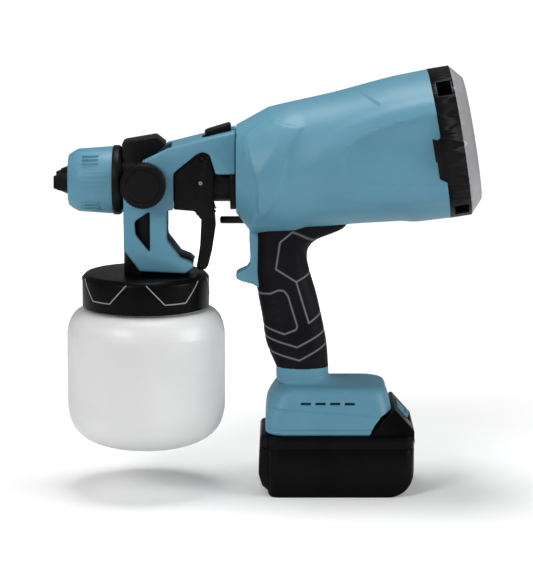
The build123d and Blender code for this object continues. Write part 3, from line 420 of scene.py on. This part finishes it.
# Glass-fibre laminate with green solder mask.
laminate = plastic("glassFibreLaminate", {
    "dark": "#0e4423", "light": "#145a30", "patch": 4, "grain": 0.6, "rough": 0.35,
    "roughSpread": 0.05, "bump": 0.1})
# Heat-shrunk PVC sleeve of the cells.
shrinkSleeve = plastic("shrinkSleevePvc", {
    "dark": "#2c5f92", "light": "#35699d", "patch": 15, "grain": 2.0, "rough": 0.3,
    "roughSpread": 0.04, "bump": 0.1})
# Open-cell polyurethane foam: rough, full of pores a millimetre wide.
openCellFoam = plastic("openCellFoam", {
    "dark": "#1f1f20", "light": "#3a3a3b", "patch": 1.2, "grain": 0.8, "rough": 0.9,
    "roughSpread": 0.05, "bump": 1.0, "specular": 0.2})
# Nitrile rubber seals.
nitrileRubber = plastic("nitrileRubber", {
    "dark": "#171717", "light": "#1e1e1e", "patch": 8, "grain": 0.8, "rough": 0.55,
    "roughSpread": 0.05, "bump": 0.1, "specular": 0.4})
# Satin grey on black nylon, a painted highlight on the rear cover's sloping rim, the battery wedge's
# chamfer and thin raised lines.
highlightGrey = plastic("paintedHighlightGrey", {
    "dark": "#8e8e90", "light": "#969698", "patch": 30, "grain": 0.9, "rough": 0.34,
    "roughSpread": 0.05, "bump": 0.08, "specular": 0.6})
turnedSteel = metal("turnedSteel", {
    "dark": "#8d8f92", "light": "#b3b5b8", "rough": 0.3, "marks": 0.8, "stretch": (6, 1, 1)})
turnedBrass = metal("turnedBrass", {
    "dark": "#a98645", "light": "#cfa85f", "rough": 0.28, "marks": 0.8, "stretch": (6, 1, 1)})

slotMaterials = {
    "blue_shell": mouldedAbs, "black_shell": glassFilledNylon, "black_rubber": grippyRubber,
    "black_gloss": polishedAbs, "white_cup": blowMouldedPolyethylene,
    "inner_plastic": naturalPolypropylene, "steel": turnedSteel, "brass": turnedBrass,
    "board": laminate, "cell_wrap": shrinkSleeve, "foam": openCellFoam, "seal_rubber": nitrileRubber,
}
for node in frame["nodes"].values():
    for materialSlot in node.material_slots:
        slotName = materialSlot.material.name.split(".")[0]
        materialSlot.material = slotMaterials[slotName]
frame["nodes"]["trigger_pin"].material_slots[0].material = glassFilledNylon  # a blackened pin
print("materials made")


blower = {
    "length": 152.0,
    "wall": 2.6,
    "seamRadius": 33.0,           # on the sides; the flat front is egg-shaped
    "seamRise": 5.7,              # more on top, less below
    "seamBow": -0.7,
    "topKinkPlace": 32.0,         # where the front bevel ends on top
    "kinkPlace": 12.8,            # on the sides
    "lowKinkPlace": 4.5,          # and below
    "body": [(0, 43.0), (12.8, 44.6), (32, 47.2), (56, 48.8), (80, 50.2), (104, 52.6),
             (123, 54.5), (152, 55.8)],
    "panel": [(12.2, 28.2), (25.9, 37.3), (35.3, 39.0), (42.6, 34.5), (55.4, 32.2), (45.5, 21.0),
              (39.4, 12.7), (35.9, 0.9), (30.7, -11.0), (22.0, -22.5), (13.0, -29.0)],
    "panelRise": 1.3,
    "crease": [(42.6, 32.7), (19.1, 5.5), (13.3, -18.3)],
    "creaseRise": 2.0,
    "creaseReach": 15.0,
    "dentLength": 75.0,
    "dentHalfHeight": 25.5,
    "dentRim": 1.2,
    "dentDepth": 3.2,
    "swellLength": 108.0,
    "swellHalfHeight": 41.0,
    "swellRise": 1.0,
    "mark": [(102.4, 49.0), (112.5, 41.4)],
    "markRise": 0.7,
    "markReach": 1.6,
    "bellyLine": [(40, -31.5), (58.9, -30.4), (107.8, -37.6), (125, -42)],
    "bellySlope": 0.13,           # how fast the belly flattens below that line
    "bellyDepth": 1.5,
    "pipeHole": 19.5,
    "frontShare": 0.04,           # share of the mesh's rows on the flat front
    "tabGap": 0.4,
    "tab": [(2.5, 11.7, 1), (-4.5, 7.3, 1), (-4.5, -18.9, -1), (2.5, -24.2, -1)],
    "tabFront": -4.5,
    "tabCut": (44, 70),
}


def seamRadius(turn):
    up = math.cos(turn)
    return blower["seamRadius"] + blower["seamRise"] * up + blower["seamBow"] * up * up


def seamPlace(turn):
    return seamRadius(turn) * math.cos(turn) * blowerAlong.z / blowerAlong.x


def blowerRadius(t, turn):
    # radius of the blower at a place along its axis, turn 0 on top and pi below
    kink = curveThrough([(28, blower["topKinkPlace"]), (44, blower["kinkPlace"]),
                         (100, blower["kinkPlace"]), (150, blower["lowKinkPlace"])], math.degrees(turn))
    seam = seamRadius(turn)
    seamT = seamPlace(turn)
    if t < kink:
        share = (t - seamT) / (kink - seamT)
        return seam + share * (curveThrough(blower["body"], kink) - seam)
    radius = curveThrough(blower["body"], t)
    v = radius * math.cos(turn)
    fade = smooth((t - kink) / 3)
    radius += fade * blower["panelRise"] * smooth(insideOf(t, v, blower["panel"]) / 2.5 + 0.5)
    near = awayFromLine(t, v, blower["crease"])
    radius += fade * blower["creaseRise"] * max(0.0, 1 - near / blower["creaseReach"])
    e = ((blower["length"] - t) / blower["swellLength"]) ** 2 + (v / blower["swellHalfHeight"]) ** 2
    radius += blower["swellRise"] * smooth((1 - e) / 0.3)
    e = ((blower["length"] - t) / blower["dentLength"]) ** 2 + ((v - 2) / blower["dentHalfHeight"]) ** 2
    radius -= blower["dentRim"] * smooth((1 - e) / 0.12) + blower["dentDepth"] * max(0.0, 1 - e)
    radius += blower["markRise"] * smooth(blower["markReach"] - awayFromLine(t, v, blower["mark"]))
    belly = curveThrough(blower["bellyLine"], t)
    inBelly = smooth((t - 36) / 10) * smooth((128 - t) / 14)
    radius -= inBelly * min(blower["bellyDepth"], blower["bellySlope"] * max(0.0, belly - v))
    return radius


def blowerPoint(t, turn, radius, side):
    return (blowerStart + blowerAlong * t + blowerUp * (radius * math.cos(turn))
            + Vector((0, side * radius * math.sin(turn), 0)))


def blowerShell(side, name, replaced):
    frontShare, hole = blower["frontShare"], blower["pipeHole"]

    def placeOf(u, w):
        turn = math.pi * u
        seamT = seamPlace(turn)
        if w < frontShare:
            rim = blowerPoint(seamT, turn, seamRadius(turn), side)
            edge = Vector((seamX, side * hole * math.sin(turn), gunAxisZ + hole * math.cos(turn)))
            return edge.lerp(rim, w / frontShare)
        t = seamT + (blower["length"] - seamT) * (w - frontShare) / (1 - frontShare)
        return blowerPoint(t, turn, blowerRadius(t, turn), side)

    shell = bentGrid(name, 97, 151, placeOf)
    cleanUp(shell)
    applyModifier(shell, "SOLIDIFY", thickness=blower["wall"] * mm, offset=-1)
    near, far = blower["tabCut"]
    cutAway(shell, prism("tabPocket", rearTabOutline(), *sorted((side * near, side * far))))
    return finishPiece(shell, mouldedAbs, "root", replaced, angle=24)


def rearTabOutline():
    # the pocket of the rear cover's tab, a gap larger than the tab on three sides
    gap = blower["tabGap"]
    outline = []
    for forward, up, way in blower["tab"]:
        back = gap if forward == blower["tabFront"] else 0
        t = blower["length"] + forward - back
        corner = blowerStart + blowerAlong * t + blowerUp * (up + way * gap)
        outline.append((corner.x, corner.z))
    return outline


blowerShell(-1, "blowerShellLeft", ["housing_left"])
blowerShell(1, "blowerShellRight", ["housing_right"])
print("blower shells made")


foot = {
    "low": boxOf("housing_left")[0].z, "height": 35.6, "front": -56.2, "rear": 38.0, "halfWidth": 35.0,
    "corner": 13.0, "neckTop": 93.8, "neckFront": -48.2, "neckRear": -9.0, "neckHalfWidth": 17.0,
    # height above the bottom, then how far front, rear and sides draw in
    "rows": [(0.0, 1.6, 1.2, 1.6), (0.8, 0.6, 0.5, 0.7), (2.0, 0.1, 0.1, 0.2), (9.0, 0.0, 0.0, 0.0),
             (16.0, 0.6, 0.0, 0.3), (22.0, 1.8, 1.2, 1.6), (27.0, 4.0, 2.8, 3.2), (31.0, 6.4, 4.0, 4.6),
             (33.6, 8.4, 5.6, 6.4), (35.0, 10.2, 8.6, 8.8), (35.6, 13.0, 14.0, 12.4)],
    "topDraw": (13.0, 14.0, 12.4), "neckCorner": 14, "wallShare": 0.72, "neckShare": 0.6,
    "beltTop": 66.5, "beltMiddle": -45, "beltFall": 0.078, "beltRise": 0.9,
    "grooveZ": 50.6, "grooveDepth": 0.7,
    "recessX": (-39, 2), "recessZ": (67.5, 75.2), "recessDepth": 0.6,
    "seamX": 2.2, "seamLow": 76.0, "seamDepth": 0.6,
    # the battery's wedge: x, height above the bottom
    "wedge": [(20.6, -2), (21.0, 0), (24.6, 8.0), (29.5, 14.6), (38.5, 19.4), (60, 19.4), (60, -2)],
    "slots": (-30.0, -19.1, -8.2, 2.7), "slotLength": 7.5, "slotLow": 23, "slotHigh": 24.9,
    "floor": 2.8, "railFront": -45.4, "railNeck": 18.4, "flangeFront": -50.5, "flange": 22.4,
    "flangeHeight": 4.2, "past": 60,
}


def footDraw(height, column):
    return curveThrough([(row[0], row[column]) for row in foot["rows"]], height)


def footSurface(u, w):
    # w runs from the bottom edge up the wall, over the top and up the neck
    side = 1 if u > 0.5 else -1
    share = abs(2 * u - 1)
    wallShare = foot["wallShare"]
    if w < wallShare:
        height = foot["height"] * w / wallShare
        x, y = roundedOutline(foot["front"] + footDraw(height, 1), foot["rear"] - footDraw(height, 2),
                              foot["halfWidth"] - footDraw(height, 3), foot["corner"], share)
        z = foot["low"] + height
        return footDetail(x, y, z, side)
    neckRun = (w - wallShare) / (1 - wallShare)
    frontDraw, rearDraw, sideDraw = foot["topDraw"]
    a = roundedOutline(foot["front"] + frontDraw, foot["rear"] - rearDraw,
                       foot["halfWidth"] - sideDraw, foot["corner"], share)
    b = roundedOutline(foot["neckFront"], foot["neckRear"], foot["neckHalfWidth"],
                       foot["neckCorner"], share)
    blend = 1 - (1 - min(neckRun / foot["neckShare"], 1)) ** 2
    rise = smooth(neckRun) ** 1.6
    top = foot["low"] + foot["height"]
    return (a[0] + (b[0] - a[0]) * blend, side * (a[1] + (b[1] - a[1]) * blend),
            top + (foot["neckTop"] - top) * rise)


def footDetail(x, y, z, side):
    # a belt stands proud below a line that falls to the rear, with a groove near the bottom
    # there is a shallow recess round the slots, and a short upright seam behind them
    beltTop = foot["beltTop"] - foot["beltFall"] * (x - foot["beltMiddle"])
    out = foot["beltRise"] * (1 - smooth((z - beltTop) / 1.4 + 0.5))
    out -= foot["grooveDepth"] * smooth(1.5 - abs(z - foot["grooveZ"]) / 0.8)
    (front, rear), (low, high) = foot["recessX"], foot["recessZ"]
    recessed = smooth((x - front) / 2) * smooth((rear - x) / 2)
    out -= foot["recessDepth"] * recessed * smooth((z - low) / 1.5) * smooth((high - z) / 1.0)
    onSeam = smooth(1.4 - abs(x - foot["seamX"]) / 0.7)
    out -= foot["seamDepth"] * onSeam * smooth((z - foot["seamLow"]) / 2)
    reach = max(abs(y) / foot["halfWidth"], 0.25)
    return (x, side * (y + out * reach), z)


def footBox(name, front, rear, lowRise, highRise, half):
    low, high = foot["low"] + lowRise, foot["low"] + highRise
    return prism(name, [(front, low), (rear, low), (rear, high), (front, high)], -half, half)


def makeFoot():
    body = bentGrid("footShell", 241, 92, footSurface)
    cleanUp(body)
    closeHoles(body)
    cleanUp(body)
    low, past, floor = foot["low"], foot["past"], foot["floor"]
    cutAway(body, prism("wedgeCut", [(x, low + rise) for x, rise in foot["wedge"]], -past, past))
    for x in foot["slots"]:
        cutAway(body, footBox("slot", x, x + foot["slotLength"], foot["slotLow"], foot["slotHigh"], past))
    cutAway(body, footBox("railNeck", foot["railFront"], past, -1, floor + 1, foot["railNeck"]))
    cutAway(body, footBox("railSlot", foot["flangeFront"], past, floor, floor + foot["flangeHeight"],
                          foot["flange"]))
    return body


def halfOf(piece, side, name):
    half = piece.copy()
    half.data = piece.data.copy()
    half.name = name
    bpy.context.scene.collection.objects.link(half)
    edit(half)
    bpy.ops.mesh.select_all(action="SELECT")
    bpy.ops.mesh.bisect(plane_co=(0, side * 0.08 * mm, 0), plane_no=(0, side, 0), use_fill=True,
                        clear_inner=True)
    leaveEdit()
    return half


wholeFoot = makeFoot()
finishPiece(halfOf(wholeFoot, -1, "footShellLeft"), mouldedAbs, "root",
            ["housing_left"], angle=30)
finishPiece(halfOf(wholeFoot, 1, "footShellRight"), mouldedAbs, "root",
            ["housing_right"], angle=30)
bpy.data.objects.remove(wholeFoot)
print("foot made")


grip = {
    "thickness": 2.4,
    "corner": 14.5,
    "lineDepth": 0.55,
    "lineHalfWidth": 0.75,
    "lineHighlightPaint": 0.8,
    "ridgeRise": 0.6,
    "ridgeReach": 2.0,
    "webNarrowing": 0.36,         # the part that runs out under the blower is this much narrower
    "front": [(93.5, -48.2), (112, -55.6), (131, -58.5), (150, -62.0), (165, -64.0), (180, -63.8),
              (203, -63.4)],
    "rear": [(93.5, -9.0), (112, -10.5), (131, -14.2), (150, -18.6), (165, -23.0), (176, -25.2),
             (184, -23.8), (190, -17.5), (194, -7.0), (197.5, 1.0), (203, 6.0)],
    "halfWidth": [(93.5, 17.0), (112, 17.3), (131, 17.5), (150, 17.0), (165, 16.5), (203, 17.0)],
    "lines": [
        [(-20.5, 190.7), (-36, 197.4), (-45.5, 189.4), (-48.5, 169.3), (-33.4, 159.7), (-21.4, 165.8),
         (-19.0, 167.0)],
        [(-33.4, 159.7), (-23.9, 128.6), (-13.6, 135.6), (-10.5, 137.5)],
        [(-62, 150), (-52.4, 150.9), (-46.7, 153.5), (-42.5, 153.0), (-39.5, 149.2), (-32.6, 126.4),
         (-33.4, 123.8), (-42, 120.3), (-56.6, 125.1), (-60, 126.5)],
        [(-60, 119), (-55.8, 117.3), (-32.6, 110.3), (-11, 122.1), (-8, 124)],
        [(-56, 107.3), (-52.4, 106.3), (-30.8, 100.2), (-9.3, 112.5), (-7, 114)],
    ],
    "ridges": [[(-53.3, 142.2), (-45.8, 144.8)], [(-50.6, 135.2), (-42, 138.7)],
               [(-48, 129.9), (-42, 131.7)]],
}


def gripHalf(side, name, replaced):
    low, high = grip["front"][0][0], grip["front"][-1][0]

    def placeOf(u, w):
        z = low + (high - low) * w
        front, rear = curveThrough(grip["front"], z), curveThrough(grip["rear"], z)
        half = curveThrough(grip["halfWidth"], z)
        x, y = roundedOutline(front, rear, half, grip["corner"], u)
        y *= 1 - grip["webNarrowing"] * smooth((x + 27) / 26) * smooth((z - 180) / 12)
        line = min(awayFromLine(x, z, points) for points in grip["lines"])
        ridge = min(awayFromLine(x, z, points) for points in grip["ridges"])
        onLine = 1 - smooth(line / grip["lineHalfWidth"] / 1.6)
        push = grip["ridgeRise"] * (1 - smooth(ridge / grip["ridgeReach"])) - grip["lineDepth"] * onLine
        middle = (front + rear) / 2
        outward = Vector((0.35 * (x - middle) / (rear - front) * 2, y / half)).normalized()
        return (x + push * outward.x, side * (max(y + push * outward.y, 0.05)), z)

    cover = bentGrid(name, 141, 171, placeOf)
    # the paler colour along the lines is a painted highlight
    paint = cover.data.attributes.new("grooveHighlight", "FLOAT", "POINT")
    for vertex in cover.data.vertices:
        x, z = vertex.co.x / mm, vertex.co.z / mm
        line = min(awayFromLine(x, z, points) for points in grip["lines"])
        onLine = 1 - smooth(line / grip["lineHalfWidth"] / 1.2)
        paint.data[vertex.index].value = grip["lineHighlightPaint"] * onLine
    cleanUp(cover)
    applyModifier(cover, "SOLIDIFY", thickness=grip["thickness"] * mm, offset=-1)
    return finishPiece(cover, grippyRubber, "root", replaced, angle=40)


gripHalf(-1, "gripCoverLeft", ["grip_cover_left"])
gripHalf(1, "gripCoverRight", ["grip_cover_right"])
print("grip covers made")


strip = {
    "halfWidth": 9.0, "middleGap": 0.08, "edge": 1.6,
    "outline": [(-60, 203), (-68.4, 203), (-68.3, 190), (-67.6, 178), (-68.0, 171.5), (-70.2, 168.4),
                (-74.5, 166.6), (-77.6, 164.9), (-78.6, 162.6), (-77.2, 160.2), (-73.5, 158.6),
                (-69.5, 157.6), (-65.5, 156.4), (-61, 153.5), (-58, 156), (-58, 165)],
}


def fingerStrip(side, name, replaced):
    inner, outer = side * strip["middleGap"], side * strip["halfWidth"]
    piece = prism(name, strip["outline"], *sorted((inner, outer)))
    softEdges(piece, strip["edge"], angle=50, segments=4)
    return finishPiece(piece, mouldedAbs, "root", replaced, angle=40)


fingerStrip(-1, "fingerStripLeft", ["housing_left"])
fingerStrip(1, "fingerStripRight", ["housing_right"])
print("finger strip made")


cupLow, cupHigh = boxOf("container")[0].z, boxOf("container")[1].z
cup = {
    "wall": 1.6, "lip": 0.6, "neck": 42.4, "lipRadius": 41.8, "mouth": 40.4, "mouthInside": 39.8,
    # height above the bottom, radius
    "outer": [(0, 0.5), (0.0, 30.0), (0.9, 36.0), (3.6, 43.5), (8.4, 50.5), (15.0, 55.6), (24.0, 58.4),
              (34.0, 59.2), (80.0, 59.2), (88.0, 58.7), (95.0, 56.6), (100.0, 53.0), (102.6, 48.4),
              (103.2, 44.0), (104.2, 42.6), (108.0, 42.4)],
    "threads": [(110.0, 42.4), (111.2, 43.7), (112.4, 42.4), (115.0, 42.4), (116.2, 43.7), (117.4, 42.4)],
    "middle": 60, "shoulder": 104, "neckStart": 104.5,
}


def profileThrough(points, steps):
    # a smooth line through points of (height, radius), by even shares between them
    line = []
    for i in range(len(points) - 1):
        before, after = points[max(i - 1, 0)], points[min(i + 2, len(points) - 1)]
        for step in range(steps):
            s = step / steps
            line.append(tuple(
                0.5 * (2 * points[i][k] + (points[i + 1][k] - before[k]) * s
                       + (2 * before[k] - 5 * points[i][k] + 4 * points[i + 1][k] - after[k]) * s * s
                       + (3 * points[i][k] - before[k] - 3 * points[i + 1][k] + after[k]) * s**3)
                for k in (0, 1)))
    return line + [points[-1]]


def makeCup():
    top, wall, lip = cupHigh - cupLow, cup["wall"], cup["lip"]
    outer = profileThrough(cup["outer"], 4)
    outer += [point for point in cup["threads"] if point[0] < top - 1]
    outer += [(top - lip, cup["neck"]), (top, cup["lipRadius"])]
    inner = []
    for height, radius in outer[:-2]:
        if height < cup["neckStart"]:
            rise = wall if height < cup["middle"] else -wall * (height < cup["shoulder"])
            inner.append((max(height, 0) + rise, max(radius - wall, 0.5)))
    inner.append((top - lip, cup["mouthInside"]))
    profile = outer + [(top, cup["mouth"])] + inner[::-1]
    piece = spun("cup", profile, (cupX, 0, cupLow), (0, 0, 1), steps=144)
    closeHoles(piece)
    cleanUp(piece, 0.002)
    return finishPiece(piece, blowMouldedPolyethylene, "container", ["container"], 40)


makeCup()
print("cup made")


def bodyOf(node):
    return frame["nodes"][node]["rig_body"]


def eased(node, name, material, width, angle=30, segments=2, smoothAngle=35):
    piece = copyOfNode(node, name, width > 0)
    if node == "battery_top":
        chamferWedge(piece)
    if width > 0:
        softEdges(piece, width, angle, segments)
        cleanUp(piece, 0.001, False)
    return finishPiece(piece, material, bodyOf(node), [node], smoothAngle)


# node, new name, material, width of the eased edge, least angle of an edge, segments
easedPieces = [
    ("gun_body", "gunBody", glassFilledNylon, 0.9, 35, 2),
    ("collar_ring", "collarRing", glassFilledNylon, 0.6, 35, 2),
    ("air_cap", "airCap", glassFilledNylon, 0.4, 35, 2),
    ("flow_knob", "flowKnob", glassFilledNylon, 0.3, 35, 1),
    ("trigger", "trigger", glassFilledNylon, 1.3, 30, 3),
    ("release_button", "releaseButton", glassFilledNylon, 1.8, 30, 4),
    ("outlet_collar", "outletCollar", glassFilledNylon, 0.6, 35, 2),
    ("push_rod", "pushRod", glassFilledNylon, 1.6, 35, 4),
    ("battery_case", "batteryCase", polishedAbs, 0.3, 35, 2),
    ("battery_top", "batteryTop", polishedAbs, 0.5, 40, 2),
    ("battery_button", "batteryButton", mouldedAbs, 0.4, 35, 2),
    ("lid", "lid", polishedAbs, 0.8, 35, 3),
    ("cap_nut", "capNut", mouldedAbs, 0.5, 35, 2),
    ("rear_cover", "rearCover", glassFilledNylon, 0, 35, 2),  # its slotted face stays as it is
    ("frame_left", "frameLeft", mouldedAbs, 1.7, 35, 2),
    ("frame_right", "frameRight", mouldedAbs, 1.7, 35, 2),
]
wedge = {"halfWidth": 33, "front": 36, "cut": 5.0, "leastRun": 12, "leastFall": 8, "leastArea": 20}


def chamferWedge(top):
    # the long upper edges of the battery's wedge are cut back, and the cut gets a painted highlight in
    # satin grey
    edit(top, "EDGE")
    leaveEdit()
    for edge in top.data.edges:
        a, b = (top.data.vertices[i].co / mm for i in edge.vertices)
        steep = abs(a.x - b.x) > wedge["leastRun"] and abs(a.z - b.z) > wedge["leastFall"]
        atSide = all(abs(abs(end.y) - wedge["halfWidth"]) < 0.3 for end in (a, b))
        edge.select = steep and atSide and min(a.x, b.x) > wedge["front"]
    bpy.ops.object.mode_set(mode="EDIT")
    bpy.ops.mesh.bevel(offset=wedge["cut"] * mm, segments=1, affect="EDGES", clamp_overlap=True)
    leaveEdit()


def paintHighlightOnChamfer(top):
    top.data.materials.append(highlightGrey)
    # the chamfer's large sloping faces take the grey of a painted highlight
    for face in top.data.polygons:
        sloping = face.normal.z > 0.3 and abs(face.normal.y) > 0.5
        large = face.area > wedge["leastArea"] * mm * mm
        if sloping and large and face.center.x > wedge["front"] * mm:
            face.material_index = 1


# turns in degrees, and drops below the lid's top
lidLines = {"count": 5, "firstTurn": 30.0, "top": 2.4, "low": 17.0, "topHalf": 27.0, "lowHalf": 10.5,
            "width": 0.75, "rise": 0.3, "sunk": 0.3}


def lidLine(fromTurn, fromDrop, toTurn, toDrop):
    # one raised line on the lid's wall, between two places given as turn and drop below the top
    low, high = boxOf("lid")
    centre, radius = (low + high) / 2, (high.x - low.x) / 2
    slant = Vector((radius * math.radians(toTurn - fromTurn), fromDrop - toDrop)).normalized()

    def placeOf(u, w):
        offset = (u - 0.5) * lidLines["width"]
        turn = fromTurn + (toTurn - fromTurn) * w - math.degrees(slant.y * offset / radius)
        z = high.z - fromDrop - (toDrop - fromDrop) * w + slant.x * offset
        out = radius + lidLines["rise"]
        return (centre.x + out * math.sin(math.radians(turn)), -out * math.cos(math.radians(turn)), z)

    line = bentGrid("lidLine", 2, 12, placeOf)
    cleanUp(line)
    faces = line.data.polygons
    if sum((face.center / mm - centre).to_2d().dot(face.normal.to_2d()) for face in faces) < 0:
        edit(line, "FACE")
        bpy.ops.mesh.select_all(action="SELECT")
        bpy.ops.mesh.flip_normals()
        leaveEdit()
    applyModifier(line, "SOLIDIFY", thickness=(lidLines["rise"] + lidLines["sunk"]) * mm, offset=-1)
    return line


def makeLidLines():
    lines = []
    top, low = lidLines["top"], lidLines["low"]
    topHalf, lowHalf = lidLines["topHalf"], lidLines["lowHalf"]
    for number in range(lidLines["count"]):
        middle = lidLines["firstTurn"] + 360 / lidLines["count"] * number
        corners = [(middle - topHalf, top), (middle - lowHalf, low),
                   (middle + lowHalf, low), (middle + topHalf, top)]
        for start, end in zip(corners, corners[1:]):
            lines.append(lidLine(*start, *end))
    piece = joinTo(lines[0], *lines[1:])
    piece.name = "lidLines"
    # the raised lines take the grey of a painted highlight
    return finishPiece(piece, highlightGrey, bodyOf("lid"), (), 40)


def paintHighlightOnSlope(cover):
    # the rear cover's sloping rim is paler and smoother than its band; the paler grey is a painted
    # highlight
    cover.data.materials.append(highlightGrey)
    for face in cover.data.polygons:
        forward = face.normal.dot(blowerAlong)
        t = (face.center / mm - blowerStart).dot(blowerAlong)
        if 0.3 < forward < 0.97 and t > blower["length"] + 14:
            face.material_index = 1


for node, name, material, width, angle, segments in easedPieces:
    piece = eased(node, name, material, width, angle, segments)
    if node == "rear_cover":
        paintHighlightOnSlope(piece)
    if node == "battery_top":
        paintHighlightOnChamfer(piece)
    print("eased", name)
makeLidLines()
print("lid lines made")


# each spring: its new name, joint, the spring's line, travel there, and its fixed end
springs = {
    "rod_spring": ("rodSpring", "trigger_pull", (1, 0, 0), 8.06, "high"),
    "needle_spring": ("needleSpring", "trigger_pull", (1, 0, 0), 3.83, "high"),
    "release_spring": ("releaseSpring", "release_press", (0, 0, 1), 3.0, "low"),
}


def shorteningSpring(node, name, joint, along, travel, fixedEnd):
    piece = copyOfNode(node, name)
    finishPiece(piece, turnedSteel, bodyOf(node), [node], 40)
    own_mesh(piece)


for node, values in springs.items():
    shorteningSpring(node, *values)
print("springs made")


# metres, watts and degrees
studio = {
    "floorSize": 2.6, "floorGlow": 0.12, "edgeGlow": 0.95, "glowFrom": 0.25, "glowTo": 1.0,
    "worldLight": 0.20, "worldSeen": 1.05,
    # place, size, power
    "keyLight": ((-0.1, 0.12, 1.5), 0.55, 12.0),
    "fillLight": ((-1.2, -1.5, 1.15), 0.9, 21.0),
    "rimLight": ((1.5, -0.5, 0.6), 0.7, 13.0),
    "cameraDistance": 2.0, "cameraRise": 10.0, "lens": 170.0, "lookAt": (-0.0555, 0.0, 0.1565),
}


def makeFloor():
    deselect()
    bpy.ops.mesh.primitive_plane_add(size=studio["floorSize"])
    floor = bpy.context.object
    floor.name = "studioFloor"
    material = plastic("paperBackdrop", {
        "dark": "#f2f2f2", "light": "#f5f5f5", "patch": 400, "grain": 3.0, "rough": 0.9,
        "roughSpread": 0.02, "bump": 0.02, "specular": 0.05})
    # the paper glows to the camera alone, more towards its edge, where the lights fall off
    tree = material.node_tree
    surface = next(node for node in tree.nodes if node.type == "BSDF_PRINCIPLED")
    output = next(node for node in tree.nodes if node.type == "OUTPUT_MATERIAL")
    ways = addNode(tree, "ShaderNodeLightPath")
    coords = addNode(tree, "ShaderNodeTexCoord")
    away = addNode(tree, "ShaderNodeVectorMath", {"operation": "LENGTH"}, {0: (coords, "Object")})
    ramp = addNode(tree, "ShaderNodeMapRange",
                   {"From Min": studio["glowFrom"], "From Max": studio["glowTo"],
                    "To Min": studio["floorGlow"], "To Max": studio["edgeGlow"]},
                   {"Value": (away, "Value")})
    strength = addNode(tree, "ShaderNodeMath", {"operation": "MULTIPLY"}, {0: (ways, "Is Camera Ray")})
    tree.links.new(ramp.outputs["Result"], strength.inputs[1])
    glow = addNode(tree, "ShaderNodeEmission", {"Color": (1, 1, 1, 1)}, {"Strength": (strength, "Value")})
    both = addNode(tree, "ShaderNodeAddShader")
    tree.links.new(surface.outputs[0], both.inputs[0])
    tree.links.new(glow.outputs[0], both.inputs[1])
    tree.links.new(both.outputs[0], output.inputs["Surface"])
    floor.data.materials.append(material)


def areaLight(name, location, size, power):
    light = bpy.data.lights.new(name, "AREA")
    light.shape = "DISK"
    light.size = size
    light.energy = power
    holder = bpy.data.objects.new(name, light)
    holder.location = location
    aim = Vector(studio["lookAt"]) - Vector(location)
    holder.rotation_euler = aim.to_track_quat("-Z", "Y").to_euler()
    bpy.context.scene.collection.objects.link(holder)


def makeWorld():
    world = bpy.data.worlds.new("studioWorld")
    world.use_nodes = True
    tree = world.node_tree
    tree.nodes.clear()
    ways = addNode(tree, "ShaderNodeLightPath")
    seen = addNode(tree, "ShaderNodeBackground", {"Color": (1, 1, 1, 1), "Strength": studio["worldSeen"]})
    lit = addNode(tree, "ShaderNodeBackground", {"Color": (1, 1, 1, 1), "Strength": studio["worldLight"]})
    both = addNode(tree, "ShaderNodeMixShader", None, {"Fac": (ways, "Is Camera Ray")})
    tree.links.new(lit.outputs[0], both.inputs[1])
    tree.links.new(seen.outputs[0], both.inputs[2])
    addNode(tree, "ShaderNodeOutputWorld", None, {"Surface": (both, "Shader")})
    bpy.context.scene.world = world


def makeCamera():
    camera = bpy.data.cameras.new("camera")
    camera.lens = studio["lens"]
    holder = bpy.data.objects.new("camera", camera)
    rise = math.radians(studio["cameraRise"])
    away = Vector((0, -math.cos(rise), math.sin(rise))) * studio["cameraDistance"]
    holder.location = Vector(studio["lookAt"]) + away
    holder.rotation_euler = (math.pi / 2 - rise, 0, 0)
    bpy.context.scene.collection.objects.link(holder)
    bpy.context.scene.camera = holder


makeFloor()
for name in ("keyLight", "fillLight", "rimLight"):
    areaLight(name, *studio[name])
makeWorld()
makeCamera()
bpy.context.scene.view_settings.view_transform = "Standard"

print("scene made")
